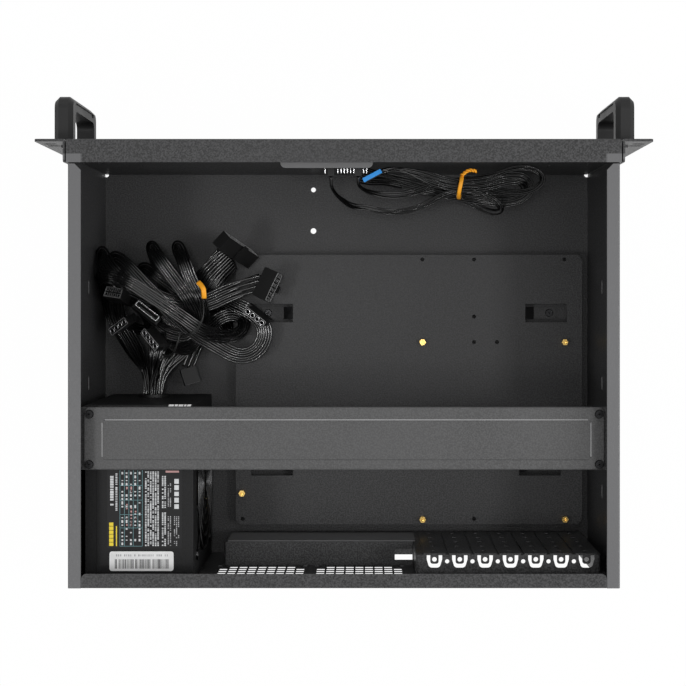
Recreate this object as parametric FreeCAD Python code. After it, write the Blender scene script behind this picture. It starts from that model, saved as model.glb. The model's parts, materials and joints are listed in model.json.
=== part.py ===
import FreeCAD, Part
import math
import os

# An open 4U rack case, seen as an assembly: +Z is up, the front looks towards -Y, and the origin
# is the middle of the underside of the floor. All sizes are in millimetres.

V = FreeCAD.Vector

# --- driving dimensions -------------------------------------------------------------------------
BODY_W = 430.0            # outer width of the folded tub
BODY_FRONT = -175.0       # face of the front panel
BODY_REAR = 175.0         # outer face of the rear wall
BODY_H = 177.0            # four rack units, less the usual clearance
SHEET = 1.2               # steel sheet of the tub
REAR_SHEET = 0.8          # thinner sheet of the rear panel
BEND = 1.4                # outer radius of the sheet's folds
HALF_W = BODY_W / 2
INNER_W = HALF_W - SHEET  # inner face of a side wall

SIDE_FLANGE = 10.2        # top flanges of the side walls
REAR_FLANGE = 11.3        # top flange of the rear wall
FRONT_WALL_Y = -160.6     # inner face of the tub's own front wall
FRONT_FLANGE = 18.2       # depth of the front panel's pan
PANEL_W = 432.8           # width of the front panel's pan
FIT = 0.3                 # gap between pieces that only pass each other

RACK_W = 482.6            # over the rack ears
RACK_HOLES_X = 465.1      # between the two columns of rack slots
RACK_HOLES_Z = (21.8, 37.7, 139.3, 155.2)
RACK_SLOT = (10.5, 6.8)
EAR_T = 2.0
EAR_LEG_X = 217.5         # inner face of the ear's side leg
EAR_LEG_T = 1.5

HANDLE_X = 224.2          # middle of a handle
HANDLE_W = 15.0
HANDLE_Z = (30.5, 146.5)
HANDLE_OUT = 37.6         # how far a handle stands out of the ear
HANDLE_POST = 13.0        # height of each of its two posts
HANDLE_GRIP = 11.0        # thickness of its grip along Y
HANDLE_CORNERS = (10.0, 7.0)  # radii of its outer and inner corners
HANDLE_BEVEL = 3.6

TRAY_X = (-206.7, 96.9)
TRAY_Y = (-89.1, 147.2)
TRAY_TOP = 17.5
TRAY_CORNER = 6.0
TRAY_SLOT = (36.6, 16.2)  # openings over the tray's fixing tongues
TRAY_SLOTS = ((-175.2, -38.0), (65.1, -38.0), (-169.8, 96.4), (65.1, 96.4))
TONGUE_W = 10.5

BOARD_COLUMNS = (-191.14, -66.68, 90.8)
BOARD_ROWS = (142.32, -12.62, -84.98)
STANDOFF_AF = 5.0
STANDOFF_H = 6.5
STANDOFF_PLACES = (
    (BOARD_COLUMNS[1], BOARD_ROWS[1]),
    (BOARD_COLUMNS[0], BOARD_ROWS[1]),
    (BOARD_COLUMNS[1], BOARD_ROWS[0]),
    (BOARD_COLUMNS[0], BOARD_ROWS[0]),
    (91.2, 119.5),
)
SPARE_HOLES = (
    (BOARD_COLUMNS[0], BOARD_ROWS[2]),
    (BOARD_COLUMNS[1], BOARD_ROWS[2]),
    (BOARD_COLUMNS[2], BOARD_ROWS[2]),
    (BOARD_COLUMNS[2], BOARD_ROWS[0]),
    (-112.0, BOARD_ROWS[2]),
    (-112.0, BOARD_ROWS[0]),
    (-112.0, BOARD_ROWS[1]),
    (-112.0, -34.9),
    (-132.2, BOARD_ROWS[1]),
)

BEAM_X = 206.0
BEAM_Y = (35.0, 84.8)
BEAM_TOP = 158.0
BEAM_SHEET = 1.5
BEAM_LIP = 6.0            # depth of the beam's folded long edges
BEAM_TAB = 10.0           # flat tabs at the beam's ends
BEAM_EMBOSS = ((-194.6, 191.0), (45.5, 76.5))
EMBOSS_DEPTH = 0.6
BEAM_SCREW_X = 201.5
BEAM_SCREW_Y = (40.7, 80.4)

RECESS_Y = 154.6          # inner face of the rear wall's recessed parts
IO_X = (-58.6, 99.7)
IO_Z = (23.4, 67.9)
IO_LAP = 2.2              # how far the blank plate laps over its opening
IO_LEDGE_Z = 70.8
SLOT_LEDGE_Z = 139.5
RECESS_X = (-204.6, -58.2, 102.0)
RECESS_Z = 9.0
SLOT_PITCH = 20.32
SLOT_FIRST_X = -72.1
SLOT_COUNT = 7
SLOT_WINDOW = (12.6, 22.5, 132.0)   # width, bottom and top of a slot's opening
SLOT_NOTCH = (12.4, 9.7)            # notch in the ledge above a slot
COVER_W = 18.6
COVER_T = 0.9
COVER_FOOT_Z = 18.5
COVER_GAP = 0.4           # between a cover's tab and the ledge over it
COVER_TAB = (6.7, 7.4)    # width and reach of the folded tab
COVER_HOLES = 5
COVER_HOLE_PITCH = 24.4

FAN_X = (69.3, -11.7)
FAN_Z = 111.0
FAN_HOLES = 71.5
GRILLE_PITCH = (8.0, 10.0)  # across and up
GRILLE_HOLE = (6.5, 8.6)
GRILLE_CELLS = (9, 7)

PSU_X = (119.7, 205.7)
PSU_Y = (33.8, 173.8)
PSU_Z = (1.2, 151.2)
PSU_SHEET = 0.8
PSU_SEAM_X = 196.9        # where the cover meets the base
PSU_FAN_R = 56.0
PSU_FAN_Y = 103.8
PSU_FAN_Z = 76.2
PSU_FAN_T = 25.0
PSU_FAN_SCREWS = 52.5     # half the side of the fan's screw square

MODULE_X = (-22.6, 50.0)
MODULE_Y = (-173.7, -153.3)
MODULE_TOP = 165.0
MODULE_H = 40.0


# --- helpers ------------------------------------------------------------------------------------
def box(x, y, z):
    """A block between the two values given for each axis."""
    low = V(min(x), min(y), min(z))
    return Part.makeBox(abs(x[1] - x[0]), abs(y[1] - y[0]), abs(z[1] - z[0]), low)


def around(middle, half):
    """The range that reaches the same way to both sides of a middle."""
    return (middle - half, middle + half)


def cylinder(radius, length, base, axis):
    """A round bar from base along axis."""
    return Part.makeCylinder(radius, length, V(*base), V(*axis))


def hexagon_bar(across_flats, height, x, y, z):
    """An upright bar of hexagonal section."""
    radius = across_flats / math.sqrt(3)
    corners = [
        V(x + radius * math.cos(math.radians(60 * i)), y + radius * math.sin(math.radians(60 * i)), z)
        for i in range(7)
    ]
    return Part.Face(Part.makePolygon(corners)).extrude(V(0, 0, height))


def rounded_outline(points, radii):
    """A closed wire through the points, with an arc of the given radius at each corner."""
    edges = []
    count = len(points)
    starts = []
    ends = []
    middles = []
    for i, point in enumerate(points):
        before = points[i - 1] - point
        after = points[(i + 1) % count] - point
        before.normalize()
        after.normalize()
        half = before.getAngle(after) / 2
        reach = radii[i] / math.tan(half)
        starts.append(point + before * reach)
        ends.append(point + after * reach)
        inward = before + after
        inward.normalize()
        middles.append(point + inward * (radii[i] / math.sin(half) - radii[i]))
    for i in range(count):
        if radii[i] > 0:
            edges.append(Part.Arc(starts[i], middles[i], ends[i]).toShape())
        if (starts[(i + 1) % count] - ends[i]).Length > 1e-6:
            edges.append(Part.LineSegment(ends[i], starts[(i + 1) % count]).toShape())
    return Part.Wire(edges)


def prism(points, radii, along):
    """The rounded outline through the points, extruded."""
    if not isinstance(radii, (list, tuple)):
        radii = [radii] * len(points)
    return Part.Face(rounded_outline(points, radii)).extrude(along)


def plate_z(x, y, z, radius):
    """A horizontal plate with rounded corners."""
    corners = [V(x[0], y[0], z[0]), V(x[1], y[0], z[0]), V(x[1], y[1], z[0]), V(x[0], y[1], z[0])]
    return prism(corners, radius, V(0, 0, z[1] - z[0]))


def plate_y(x, z, y, radius):
    """An upright plate that faces along Y, with rounded corners."""
    corners = [V(x[0], y[0], z[0]), V(x[1], y[0], z[0]), V(x[1], y[0], z[1]), V(x[0], y[0], z[1])]
    return prism(corners, radius, V(0, y[1] - y[0], 0))


def plate_x(y, z, x, radius):
    """An upright plate that faces along X, with rounded corners."""
    corners = [V(x[0], y[0], z[0]), V(x[0], y[1], z[0]), V(x[0], y[1], z[1]), V(x[0], y[0], z[1])]
    return prism(corners, radius, V(x[1] - x[0], 0, 0))


def fuse(shapes):
    """One body from several that meet, without the seams between them."""
    return shapes[0].multiFuse(shapes[1:]).removeSplitter() if len(shapes) > 1 else shapes[0]


def mirror_x(shape):
    """The same piece for the other side of the case."""
    return shape.mirror(V(0, 0, 0), V(1, 0, 0))


def save(name, shape):
    """Write one node, and stop if its solid isn't sound."""
    solids = shape.Solids
    if not solids or not shape.isValid():
        raise RuntimeError(name + " isn't a valid solid")
    out = solids[0] if len(solids) == 1 else Part.makeCompound(solids)
    out.exportStep("parts/" + name + ".step")
    return out


def screw(place, axis, head_radius, head_height, shank_radius, shank_length):
    """A screw whose head rests on place and stands out against axis; the shank goes along axis."""
    head_axis = (-axis[0], -axis[1], -axis[2])
    head = cylinder(head_radius, head_height, place, head_axis)
    rim = [e for e in head.Edges if abs(e.CenterOfMass.distanceToPoint(V(*place)) - head_height) < 1e-3
           and e.Curve.TypeId == "Part::GeomCircle"]
    head = head.makeChamfer(head_height * 0.35, rim)
    shank = cylinder(shank_radius, shank_length, place, axis)
    return head.fuse(shank).removeSplitter()


# --- folded tub: floor, front wall and side walls ------------------------------------------------
def folded_channel():
    """Floor and side walls with their inturned top flanges, as one section drawn out along Y."""
    outer = [
        (HALF_W - SIDE_FLANGE, BODY_H), (HALF_W, BODY_H), (HALF_W, 0), (-HALF_W, 0),
        (-HALF_W, BODY_H), (-HALF_W + SIDE_FLANGE, BODY_H),
    ]
    inner = [
        (-HALF_W + SIDE_FLANGE, BODY_H - SHEET), (-INNER_W, BODY_H - SHEET), (-INNER_W, SHEET),
        (INNER_W, SHEET), (INNER_W, BODY_H - SHEET), (HALF_W - SIDE_FLANGE, BODY_H - SHEET),
    ]
    radii = [0, BEND, BEND, BEND, BEND, 0, 0, 0.2, 0.2, 0.2, 0.2, 0]
    start = BODY_FRONT + SHEET + FIT
    points = [V(x, start, z) for x, z in outer + inner]
    return prism(points, radii, V(0, BODY_REAR - start, 0))


def chassis_tub():
    tub = folded_channel()
    start = BODY_FRONT + SHEET + FIT
    # The floor stops at the front wall, which is folded up from it.
    tub = tub.cut(box((-INNER_W, INNER_W), (start, FRONT_WALL_Y - SHEET), (-1, SHEET + 1)))
    wall = plate_y((-INNER_W + 0.8, INNER_W - 0.8), (0, BODY_H - SHEET - 1.5),
                   (FRONT_WALL_Y - SHEET, FRONT_WALL_Y), [0, 0, 2, 2])
    notch = box((MODULE_X[0] - 0.6, MODULE_X[1] + 0.6), (FRONT_WALL_Y - 3, FRONT_WALL_Y + 1),
                (MODULE_TOP - MODULE_H - 1, BODY_H))
    tub = fuse([tub, wall.cut(notch)])
    # The top flanges begin behind the front panel, with a slanting inner corner.
    flange_start = BODY_FRONT + FRONT_FLANGE + 1.1
    for side in (-1, 1):
        tub = tub.cut(box((side * (HALF_W + 1), side * (HALF_W - SIDE_FLANGE - 1)),
                          (start - 1, flange_start), (BODY_H - SHEET - 0.6, BODY_H + 1)))
        inner_edge = side * (HALF_W - SIDE_FLANGE)
        corner = [V(inner_edge - side, flange_start - 1, BODY_H - SHEET - 1),
                  V(inner_edge + side * 6, flange_start - 1, BODY_H - SHEET - 1),
                  V(inner_edge - side, flange_start + 6, BODY_H - SHEET - 1)]
        tub = tub.cut(prism(corner, 0, V(0, 0, SHEET + 2)))
        # Relief holes where the floor, the front wall and the side wall meet.
        tub = tub.cut(cylinder(2.2, 3, (side * (INNER_W - 0.8), FRONT_WALL_Y, -1), (0, 0, 1)))
    holes = [
        cylinder(2.1, 4, (29.4, -147.2, -1), (0, 0, 1)),
        cylinder(2.5, 4, (29.4, -110.7, -1), (0, 0, 1)),
    ]
    for side in (-1, 1):
        for x, z in ((199.0, 115.0), (169.0, 95.0)):
            holes.append(cylinder(2.0, 4, (side * x, FRONT_WALL_Y - 2, z), (0, 1, 0)))
        for y, z in EAR_RIVETS:
            holes.append(cylinder(RIVET_R, 8, (side * (INNER_W - 3), y, z), (side, 0, 0)))
        for y, z in BRACKET_RIVETS:
            holes.append(cylinder(RIVET_R, 8, (side * (INNER_W - 3), y, z), (side, 0, 0)))
    # Slots for the side rivets of a slide rail.
    for side in (-1, 1):
        for y in (-60.0, 20.0, 110.0):
            slot = plate_x((y - 6, y + 6), (86.0, 90.5), (side * (INNER_W - 3), side * (HALF_W + 3)), 2.2)
            holes.append(slot)
    for hole in holes:
        tub = tub.cut(hole)
    return tub


# --- rear wall, with its recessed board and card area --------------------------------------------
def recess_outline(grow):
    """The stepped outline of the recess, made larger all round by grow."""
    left, step, right = RECESS_X
    return [
        (left - grow, RECESS_Z - grow), (right + grow, RECESS_Z - grow),
        (right + grow, IO_LEDGE_Z + grow - REAR_SHEET), (step + grow, IO_LEDGE_Z + grow - REAR_SHEET),
        (step + grow, SLOT_LEDGE_Z + grow - REAR_SHEET), (left - grow, SLOT_LEDGE_Z + grow - REAR_SHEET),
    ]


def rear_panel():
    outline_r = 1.5
    plate = plate_y((-INNER_W, INNER_W), (SHEET, BODY_H), (BODY_REAR - REAR_SHEET, BODY_REAR), 0)
    flange = plate_z((-HALF_W + SIDE_FLANGE + FIT, HALF_W - SIDE_FLANGE - FIT),
                     (BODY_REAR - REAR_FLANGE, BODY_REAR), (BODY_H - REAR_SHEET, BODY_H), [4, 4, 0, 0])
    for side in (-1, 1):
        plate = plate.cut(box((side * (HALF_W - SIDE_FLANGE - FIT), side * (HALF_W + 1)),
                              (BODY_REAR - 5, BODY_REAR + 5), (BODY_H - SHEET - FIT, BODY_H + 1)))
    panel = fuse([plate, flange])
    bend = [e for e in panel.Edges
            if abs(e.BoundBox.YMin - BODY_REAR) < 1e-3 and abs(e.BoundBox.YMax - BODY_REAR) < 1e-3
            and abs(e.BoundBox.ZMin - BODY_H) < 1e-3 and e.Length > 300]
    panel = panel.makeFillet(BEND, bend)
    outer = [V(x, RECESS_Y, z) for x, z in recess_outline(REAR_SHEET)]
    inner = [V(x, RECESS_Y + REAR_SHEET, z) for x, z in recess_outline(0)]
    sheath = prism(outer, outline_r + REAR_SHEET, V(0, BODY_REAR - RECESS_Y, 0))
    hollow = prism(inner, outline_r, V(0, BODY_REAR - RECESS_Y, 0))
    panel = fuse([panel, sheath]).cut(hollow)
    cuts = [plate_y((IO_X[0] + IO_LAP, IO_X[1] - IO_LAP), (IO_Z[0] + IO_LAP, IO_Z[1] - IO_LAP),
                    (RECESS_Y - 1, RECESS_Y + REAR_SHEET + 1), 1.5)]
    # A cable window and two blind dimples in the ledge over the board's own sockets.
    cuts.append(box((-56.4, -41.5), (160.5, 169.8), (IO_LEDGE_Z - 3, IO_LEDGE_Z + 1)))
    for x in (-34.3, 99.5):
        cuts.append(cylinder(1.8, 2, (x, 167.7, IO_LEDGE_Z - 0.4), (0, 0, 1)))
    for i in range(SLOT_COUNT):
        x = SLOT_FIRST_X - SLOT_PITCH * i
        width, low, high = SLOT_WINDOW
        cuts.append(plate_y((x - width / 2, x + width / 2), (low, high),
                            (RECESS_Y - 1, RECESS_Y + REAR_SHEET + 1), 2.0))
        cuts.append(slot_notch(x))
        if i:
            cuts.append(cylinder(1.7, 4, (x + SLOT_PITCH / 2, 160.0, SLOT_LEDGE_Z - 3), (0, 0, 1)))
    for x in FAN_X:
        cuts += fan_grille(x)
    cuts += psu_window()
    return panel.cut(Part.makeCompound(cuts))


def slot_notch(x):
    """The notch in the ledge over one card slot: it narrows towards a round rear end."""
    width, depth = SLOT_NOTCH
    front = RECESS_Y - 0.5
    rear = RECESS_Y + REAR_SHEET + depth
    points = [V(x - width / 2, front, 0), V(x + width / 2, front, 0),
              V(x + width / 2, front + depth * 0.45, 0), V(x + width * 0.34, rear, 0),
              V(x - width * 0.34, rear, 0), V(x - width / 2, front + depth * 0.45, 0)]
    notch = prism(points, [0, 0, 2, 3, 3, 2], V(0, 0, 4))
    notch.translate(V(0, 0, SLOT_LEDGE_Z - 2))
    return notch


def fan_grille(x):
    """A field of upright holes without its corner ones, and four screw holes."""
    columns, rows = GRILLE_CELLS
    wide, high = GRILLE_HOLE
    cells = []
    for i in range(columns):
        for j in range(rows):
            if i in (0, columns - 1) and j in (0, rows - 1):
                continue
            cx = x + (i - (columns - 1) / 2) * GRILLE_PITCH[0]
            cz = FAN_Z + (j - (rows - 1) / 2) * GRILLE_PITCH[1]
            cells.append(box((cx - wide / 2, cx + wide / 2), (BODY_REAR - 3, BODY_REAR + 1),
                             (cz - high / 2, cz + high / 2)))
    for sx in (-1, 1):
        for sz in (-1, 1):
            place = (x + sx * FAN_HOLES / 2, BODY_REAR - 3, FAN_Z + sz * FAN_HOLES / 2)
            cells.append(cylinder(2.2, 5, place, (0, 1, 0)))
    return cells


PSU_SCREWS = ((125.7, 17.2), (125.7, 81.2), (199.7, 7.2), (199.7, 145.2))


def psu_window():
    """The opening behind the power supply, and its four screw holes."""
    opening = plate_y((PSU_X[0] + 8.8, PSU_X[1] - 8.8), (PSU_Z[0] + 12, PSU_Z[1] - 12),
                      (BODY_REAR - 3, BODY_REAR + 1), 4)
    holes = [cylinder(1.9, 5, (x, BODY_REAR - 3, z), (0, 1, 0)) for x, z in PSU_SCREWS]
    return [opening] + holes


# --- front panel, ears and handles ----------------------------------------------------------------
RIVET_R = 1.6
EAR_RIVETS = ((-165.5, 22.0), (-165.5, 88.0), (-165.5, 154.0))
BRACKET_RIVETS = ((45.0, 139.0), (75.0, 139.0))
BUTTONS = ((35.7, 147.0, 5.5), (35.7, 134.0, 3.0))   # x, z and radius of power and reset
LEDS = ((22.0, 150.0), (22.0, 143.0), (22.0, 136.0))
USB_PORTS = ((3.0, 143.0), (-12.0, 143.0))
USB_SIZE = (7.0, 14.6)


def front_panel():
    half = PANEL_W / 2
    pan = plate_z((-half, half), (BODY_FRONT, BODY_FRONT + FRONT_FLANGE), (0, BODY_H), 0)
    edges = [e for e in pan.Edges
             if abs(e.BoundBox.YMax - BODY_FRONT) < 1e-3 and abs(e.BoundBox.YMin - BODY_FRONT) < 1e-3]
    pan = pan.makeFillet(BEND, edges)
    hollow = box((-half + SHEET, half - SHEET), (BODY_FRONT + SHEET, BODY_REAR),
                 (SHEET - 10, BODY_H - SHEET))
    pan = pan.cut(hollow)
    pan = fuse([pan, box((-half + SHEET, half - SHEET), (BODY_FRONT + 0.2, BODY_FRONT + SHEET), (0, 4))])
    window = plate_y((MODULE_X[0] + 4, MODULE_X[1] - 4), (MODULE_TOP - 36, MODULE_TOP - 4),
                     (BODY_FRONT - 1, BODY_FRONT + 3), 2)
    cuts = [window]
    for side in (-1, 1):
        for y, z in EAR_RIVETS:
            cuts.append(cylinder(RIVET_R, 8, (side * (half - 4), y, z), (side, 0, 0)))
    cuts += front_vents()
    return pan.cut(Part.makeCompound(cuts))


def front_vents():
    """Rows of upright vent slots low in the front panel."""
    slots = []
    for i in range(15):
        x = -168.0 + i * 24.0
        slots.append(plate_y((x - 2.0, x + 2.0), (30.0, 78.0), (BODY_FRONT - 1, BODY_FRONT + 3), 2.0 - 1e-4))
    return slots


def rack_ear():
    """The left ear (at +X): a face plate with rack slots and a leg along the side of the case."""
    edge = RACK_W / 2
    face = plate_y((EAR_LEG_X, edge), (0.5, BODY_H - 0.5), (BODY_FRONT, BODY_FRONT + EAR_T), [0, 3, 3, 0])
    leg = plate_x((BODY_FRONT, BODY_FRONT + 18), (0.5, BODY_H - 0.5),
                  (EAR_LEG_X, EAR_LEG_X + EAR_LEG_T), [0, 3, 3, 0])
    ear = fuse([face, leg])
    bend = [e for e in ear.Edges
            if abs(e.BoundBox.YMax - BODY_FRONT) < 1e-3 and abs(e.BoundBox.XMax - EAR_LEG_X) < 1e-3
            and e.Length > 100]
    ear = ear.makeFillet(1.2, bend)
    cuts = []
    for z in RACK_HOLES_Z:
        cuts.append(plate_y((RACK_HOLES_X / 2 - RACK_SLOT[0] / 2, RACK_HOLES_X / 2 + RACK_SLOT[0] / 2),
                            (z - RACK_SLOT[1] / 2, z + RACK_SLOT[1] / 2),
                            (BODY_FRONT - 1, BODY_FRONT + 4), RACK_SLOT[1] / 2 - 1e-3))
    for z in handle_screw_heights():
        cuts.append(cylinder(2.2, 6, (HANDLE_X, BODY_FRONT - 2, z), (0, 1, 0)))
    cuts.append(cylinder(2.1, 6, (HANDLE_X, BODY_FRONT - 2, 104.0), (0, 1, 0)))
    for y, z in EAR_RIVETS:
        cuts.append(cylinder(RIVET_R, 8, (EAR_LEG_X - 3, y, z), (1, 0, 0)))
    return ear.cut(Part.makeCompound(cuts))


def handle_screw_heights():
    return (HANDLE_Z[0] + HANDLE_POST / 2, HANDLE_Z[1] - HANDLE_POST / 2)


def handle():
    """A bow handle: two posts and a grip from one bar, with a grooved inner side."""
    low, high = HANDLE_Z
    front = BODY_FRONT - HANDLE_OUT
    x = (HANDLE_X - HANDLE_W / 2, HANDLE_X + HANDLE_W / 2)
    outline = [V(x[0], BODY_FRONT, low), V(x[0], front, low), V(x[0], front, high), V(x[0], BODY_FRONT, high)]
    bow = prism(outline, [0, HANDLE_CORNERS[0], HANDLE_CORNERS[0], 0], V(HANDLE_W, 0, 0))
    side = x[0] - 1
    gap = [V(side, BODY_FRONT + 1, low + HANDLE_POST), V(side, front + HANDLE_GRIP, low + HANDLE_POST),
           V(side, front + HANDLE_GRIP, high - HANDLE_POST), V(side, BODY_FRONT + 1, high - HANDLE_POST)]
    bow = bow.cut(prism(gap, [0, HANDLE_CORNERS[1], HANDLE_CORNERS[1], 0], V(HANDLE_W + 2, 0, 0)))
    rim = [e for e in bow.Edges
           if abs(e.BoundBox.YMax - front) < 1e-3 and abs(e.BoundBox.YMin - front) < 1e-3
           and e.BoundBox.ZLength > 50]
    bow = bow.makeChamfer(HANDLE_BEVEL, rim)
    groove = plate_x((front + 4.2, front + 7.4), (low + 16, high - 16), (x[0] - 1, x[0] + 1.0), 1.5)
    bow = bow.cut(groove)
    for z in handle_screw_heights():
        bow = bow.cut(cylinder(1.75, 12, (HANDLE_X, BODY_FRONT - 11.5, z), (0, 1, 0)))
    return bow


def handle_screws(side):
    """Two countersunk-looking screws that enter a handle through the ear."""
    return [screw((side * HANDLE_X, BODY_FRONT + EAR_T, z), (0, -1, 0), 3.2, 1.8, 1.75, 11.0)
            for z in handle_screw_heights()]


def rivets(places, inner_x, outer_x):
    """Blind rivets along X through the layers between inner_x and outer_x, on both sides of the case."""
    bodies = []
    for side in (-1, 1):
        for y, z in places:
            pin = cylinder(RIVET_R, outer_x - inner_x, (side * inner_x, y, z), (side, 0, 0))
            dome = cylinder(3.1, 0.9, (side * outer_x, y, z), (side, 0, 0))
            tail = cylinder(2.5, 1.2, (side * (inner_x - 1.2), y, z), (side, 0, 0))
            bodies.append(pin.fuse(dome).fuse(tail).removeSplitter())
    return bodies


# --- front control module -------------------------------------------------------------------------
def module_bracket():
    """A folded cradle: a top plate with rounded rear corners and a short drop at the back."""
    top = plate_z(MODULE_X, (BODY_FRONT + SHEET, MODULE_Y[1]), (MODULE_TOP - 1.2, MODULE_TOP), [0, 0, 4, 4])
    walls = []
    for x in (MODULE_X[0], MODULE_X[1] - 1.2):
        walls.append(plate_x((BODY_FRONT + SHEET, FRONT_WALL_Y - SHEET - 0.4),
                             (MODULE_TOP - MODULE_H, MODULE_TOP - 1.2 + 0.2), (x, x + 1.2), [0, 2, 0, 0]))
    return fuse([top] + walls)


def module_face():
    """The grey moulded face behind the front panel's window, with its button and socket holes."""
    plate = plate_y((MODULE_X[0] + 1.2, MODULE_X[1] - 1.2), (MODULE_TOP - MODULE_H, MODULE_TOP - 1.2),
                    (BODY_FRONT + SHEET, BODY_FRONT + SHEET + 2.0), 1)
    raised = plate_y((MODULE_X[0] + 4.3, MODULE_X[1] - 4.3), (MODULE_TOP - 35.7, MODULE_TOP - 4.3),
                     (BODY_FRONT, BODY_FRONT + SHEET + 0.5), 1.7)
    face = fuse([plate, raised])
    cuts = []
    for x, z, radius in BUTTONS:
        cuts.append(cylinder(radius + FIT, 8, (x, BODY_FRONT - 2, z), (0, 1, 0)))
    for x, z in LEDS:
        cuts.append(cylinder(1.6, 8, (x, BODY_FRONT - 2, z), (0, 1, 0)))
    for x, z in USB_PORTS:
        cuts.append(box((x - USB_SIZE[0] / 2, x + USB_SIZE[0] / 2), (BODY_FRONT - 2, BODY_FRONT + 6),
                        (z - USB_SIZE[1] / 2, z + USB_SIZE[1] / 2)))
    return face.cut(Part.makeCompound(cuts))


MODULE_PCB_Y = (-163.4, -161.9)
HEADER_X = (-19.0, 17.0)
HEADER_Y = -155.4
HEADER_Z = 149.0
PIN_PITCH = 2.54
PIN_W = 0.64
PIN_OUT = 5.0             # how far a pin stands out of its strip
HEADER_PLUGS_X = (10.6, -11.0)
HEADER_PLUG_W = 5.2


def module_board():
    """The upright circuit board behind the face, with its two switches and its strip of pins."""
    board = plate_y((MODULE_X[0] + 1.6, MODULE_X[1] - 1.6), (MODULE_TOP - MODULE_H + 0.6, MODULE_TOP - 1.6),
                    MODULE_PCB_Y, 1)
    strip = box(HEADER_X, (MODULE_PCB_Y[1], HEADER_Y), (HEADER_Z - 2.5, HEADER_Z + 2.5))
    pins = []
    count = int((HEADER_X[1] - HEADER_X[0]) / PIN_PITCH)
    for i in range(count):
        x = HEADER_X[0] + PIN_PITCH * (i + 0.5)
        if all(abs(x - plug_x) > HEADER_PLUG_W / 2 + 0.4 for plug_x in HEADER_PLUGS_X):
            pins.append(box(around(x, PIN_W / 2), (HEADER_Y - 0.1, HEADER_Y + PIN_OUT),
                            around(HEADER_Z, PIN_W / 2)))
    switches = [button_switch(x, z) for x, z, radius in BUTTONS]
    return fuse([board, strip] + pins + switches)


def button_cap(x, z, radius):
    """A round push button with a collar behind the face that keeps it in."""
    front = BODY_FRONT - 1.6
    cap = cylinder(radius, 7.2, (x, front, z), (0, 1, 0))
    rim = [e for e in cap.Edges
           if abs(e.CenterOfMass.y - front) < 1e-3 and e.Curve.TypeId == "Part::GeomCircle"]
    cap = cap.makeFillet(0.8, rim)
    collar = cylinder(radius + 1.2, 1.0, (x, BODY_FRONT + SHEET + 2.2, z), (0, 1, 0))
    return fuse([cap, collar])


def indicator_lamps():
    """The lamps' round light guides, from the board to just proud of the face."""
    length = MODULE_PCB_Y[0] - BODY_FRONT + 0.6
    return [cylinder(1.5, length, (x, BODY_FRONT - 0.6, z), (0, 1, 0)) for x, z in LEDS]


def button_switch(x, z):
    """The tact switch that a button presses, on the board."""
    return box((x - 3, x + 3), (MODULE_PCB_Y[0] - 4.3, MODULE_PCB_Y[0]), (z - 3, z + 3))


def usb_port(x, z):
    """A metal socket shell with its plastic tongue, open at the front."""
    wide, tall = USB_SIZE
    outer = box((x - wide / 2 + 0.1, x + wide / 2 - 0.1), (BODY_FRONT + 0.2, MODULE_PCB_Y[0]),
                (z - tall / 2 + 0.1, z + tall / 2 - 0.1))
    inner = box((x - wide / 2 + 0.5, x + wide / 2 - 0.5), (BODY_FRONT, MODULE_PCB_Y[0] - 0.8),
                (z - tall / 2 + 0.5, z + tall / 2 - 0.5))
    tongue = box((x - wide / 2 + 0.5, x - wide / 2 + 1.4), (BODY_FRONT + 1.2, MODULE_PCB_Y[0] - 0.5),
                 (z - 5.4, z + 5.4))
    return outer.cut(inner).fuse(tongue).removeSplitter()


# --- motherboard tray -----------------------------------------------------------------------------
def motherboard_tray():
    top = plate_z(TRAY_X, TRAY_Y, (TRAY_TOP - SHEET, TRAY_TOP), TRAY_CORNER)
    skirt_out = plate_z(TRAY_X, TRAY_Y, (SHEET, TRAY_TOP - SHEET / 2), TRAY_CORNER)
    x_in = (TRAY_X[0] + SHEET, TRAY_X[1] - SHEET)
    y_in = (TRAY_Y[0] + SHEET, TRAY_Y[1] - SHEET)
    skirt_in = plate_z(x_in, y_in, (SHEET - 1, TRAY_TOP), TRAY_CORNER - SHEET)
    skirt = skirt_out.cut(skirt_in)
    tray = fuse([top, skirt])
    cuts = []
    for x, y in TRAY_SLOTS:
        cuts.append(box((x - TRAY_SLOT[0] / 2, x + TRAY_SLOT[0] / 2),
                        (y - TRAY_SLOT[1] / 2, y + TRAY_SLOT[1] / 2), (TRAY_TOP - 3, TRAY_TOP + 1)))
    for x, y in SPARE_HOLES:
        cuts.append(cylinder(1.75, 4, (x, y, TRAY_TOP - 2), (0, 0, 1)))
    for x, y in STANDOFF_PLACES:
        cuts.append(cylinder(1.5, 4, (x, y, TRAY_TOP - 2), (0, 0, 1)))
    tray = tray.cut(Part.makeCompound(cuts))
    tongues = [tray_tongue(x, y) for x, y in TRAY_SLOTS]
    return fuse([tray] + tongues)


def tongue_side(x):
    """Each tongue hangs from the end of its opening that is nearer to the tray's middle."""
    return 1 if x < 0 else -1


def tray_tongue(x, y):
    """A tongue bent down from the inner end of an opening, with a foot that is screwed to the floor."""
    toward = tongue_side(x)
    root = x + toward * TRAY_SLOT[0] / 2
    tip = x - toward * TRAY_SLOT[0] / 2 + toward * 8
    knee = root - toward * 9
    top, foot = TRAY_TOP, SHEET
    shift = toward * 0.7
    section = [V(root + toward * 1.5, 0, top), V(root, 0, top), V(knee, 0, foot + SHEET),
               V(tip, 0, foot + SHEET), V(tip, 0, foot), V(knee + shift, 0, foot),
               V(root + shift, 0, top - SHEET), V(root + toward * 1.5, 0, top - SHEET)]
    strip = Part.Face(Part.makePolygon(section + [section[0]])).extrude(V(0, TONGUE_W, 0))
    strip.translate(V(0, y - TONGUE_W / 2, 0))
    hole_x = tongue_screw_x(x)
    return strip.cut(cylinder(1.6, 6, (hole_x, y, 0), (0, 0, 1)))


def tongue_screw_x(x):
    return x - tongue_side(x) * (TRAY_SLOT[0] / 2 - 14.0)


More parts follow.
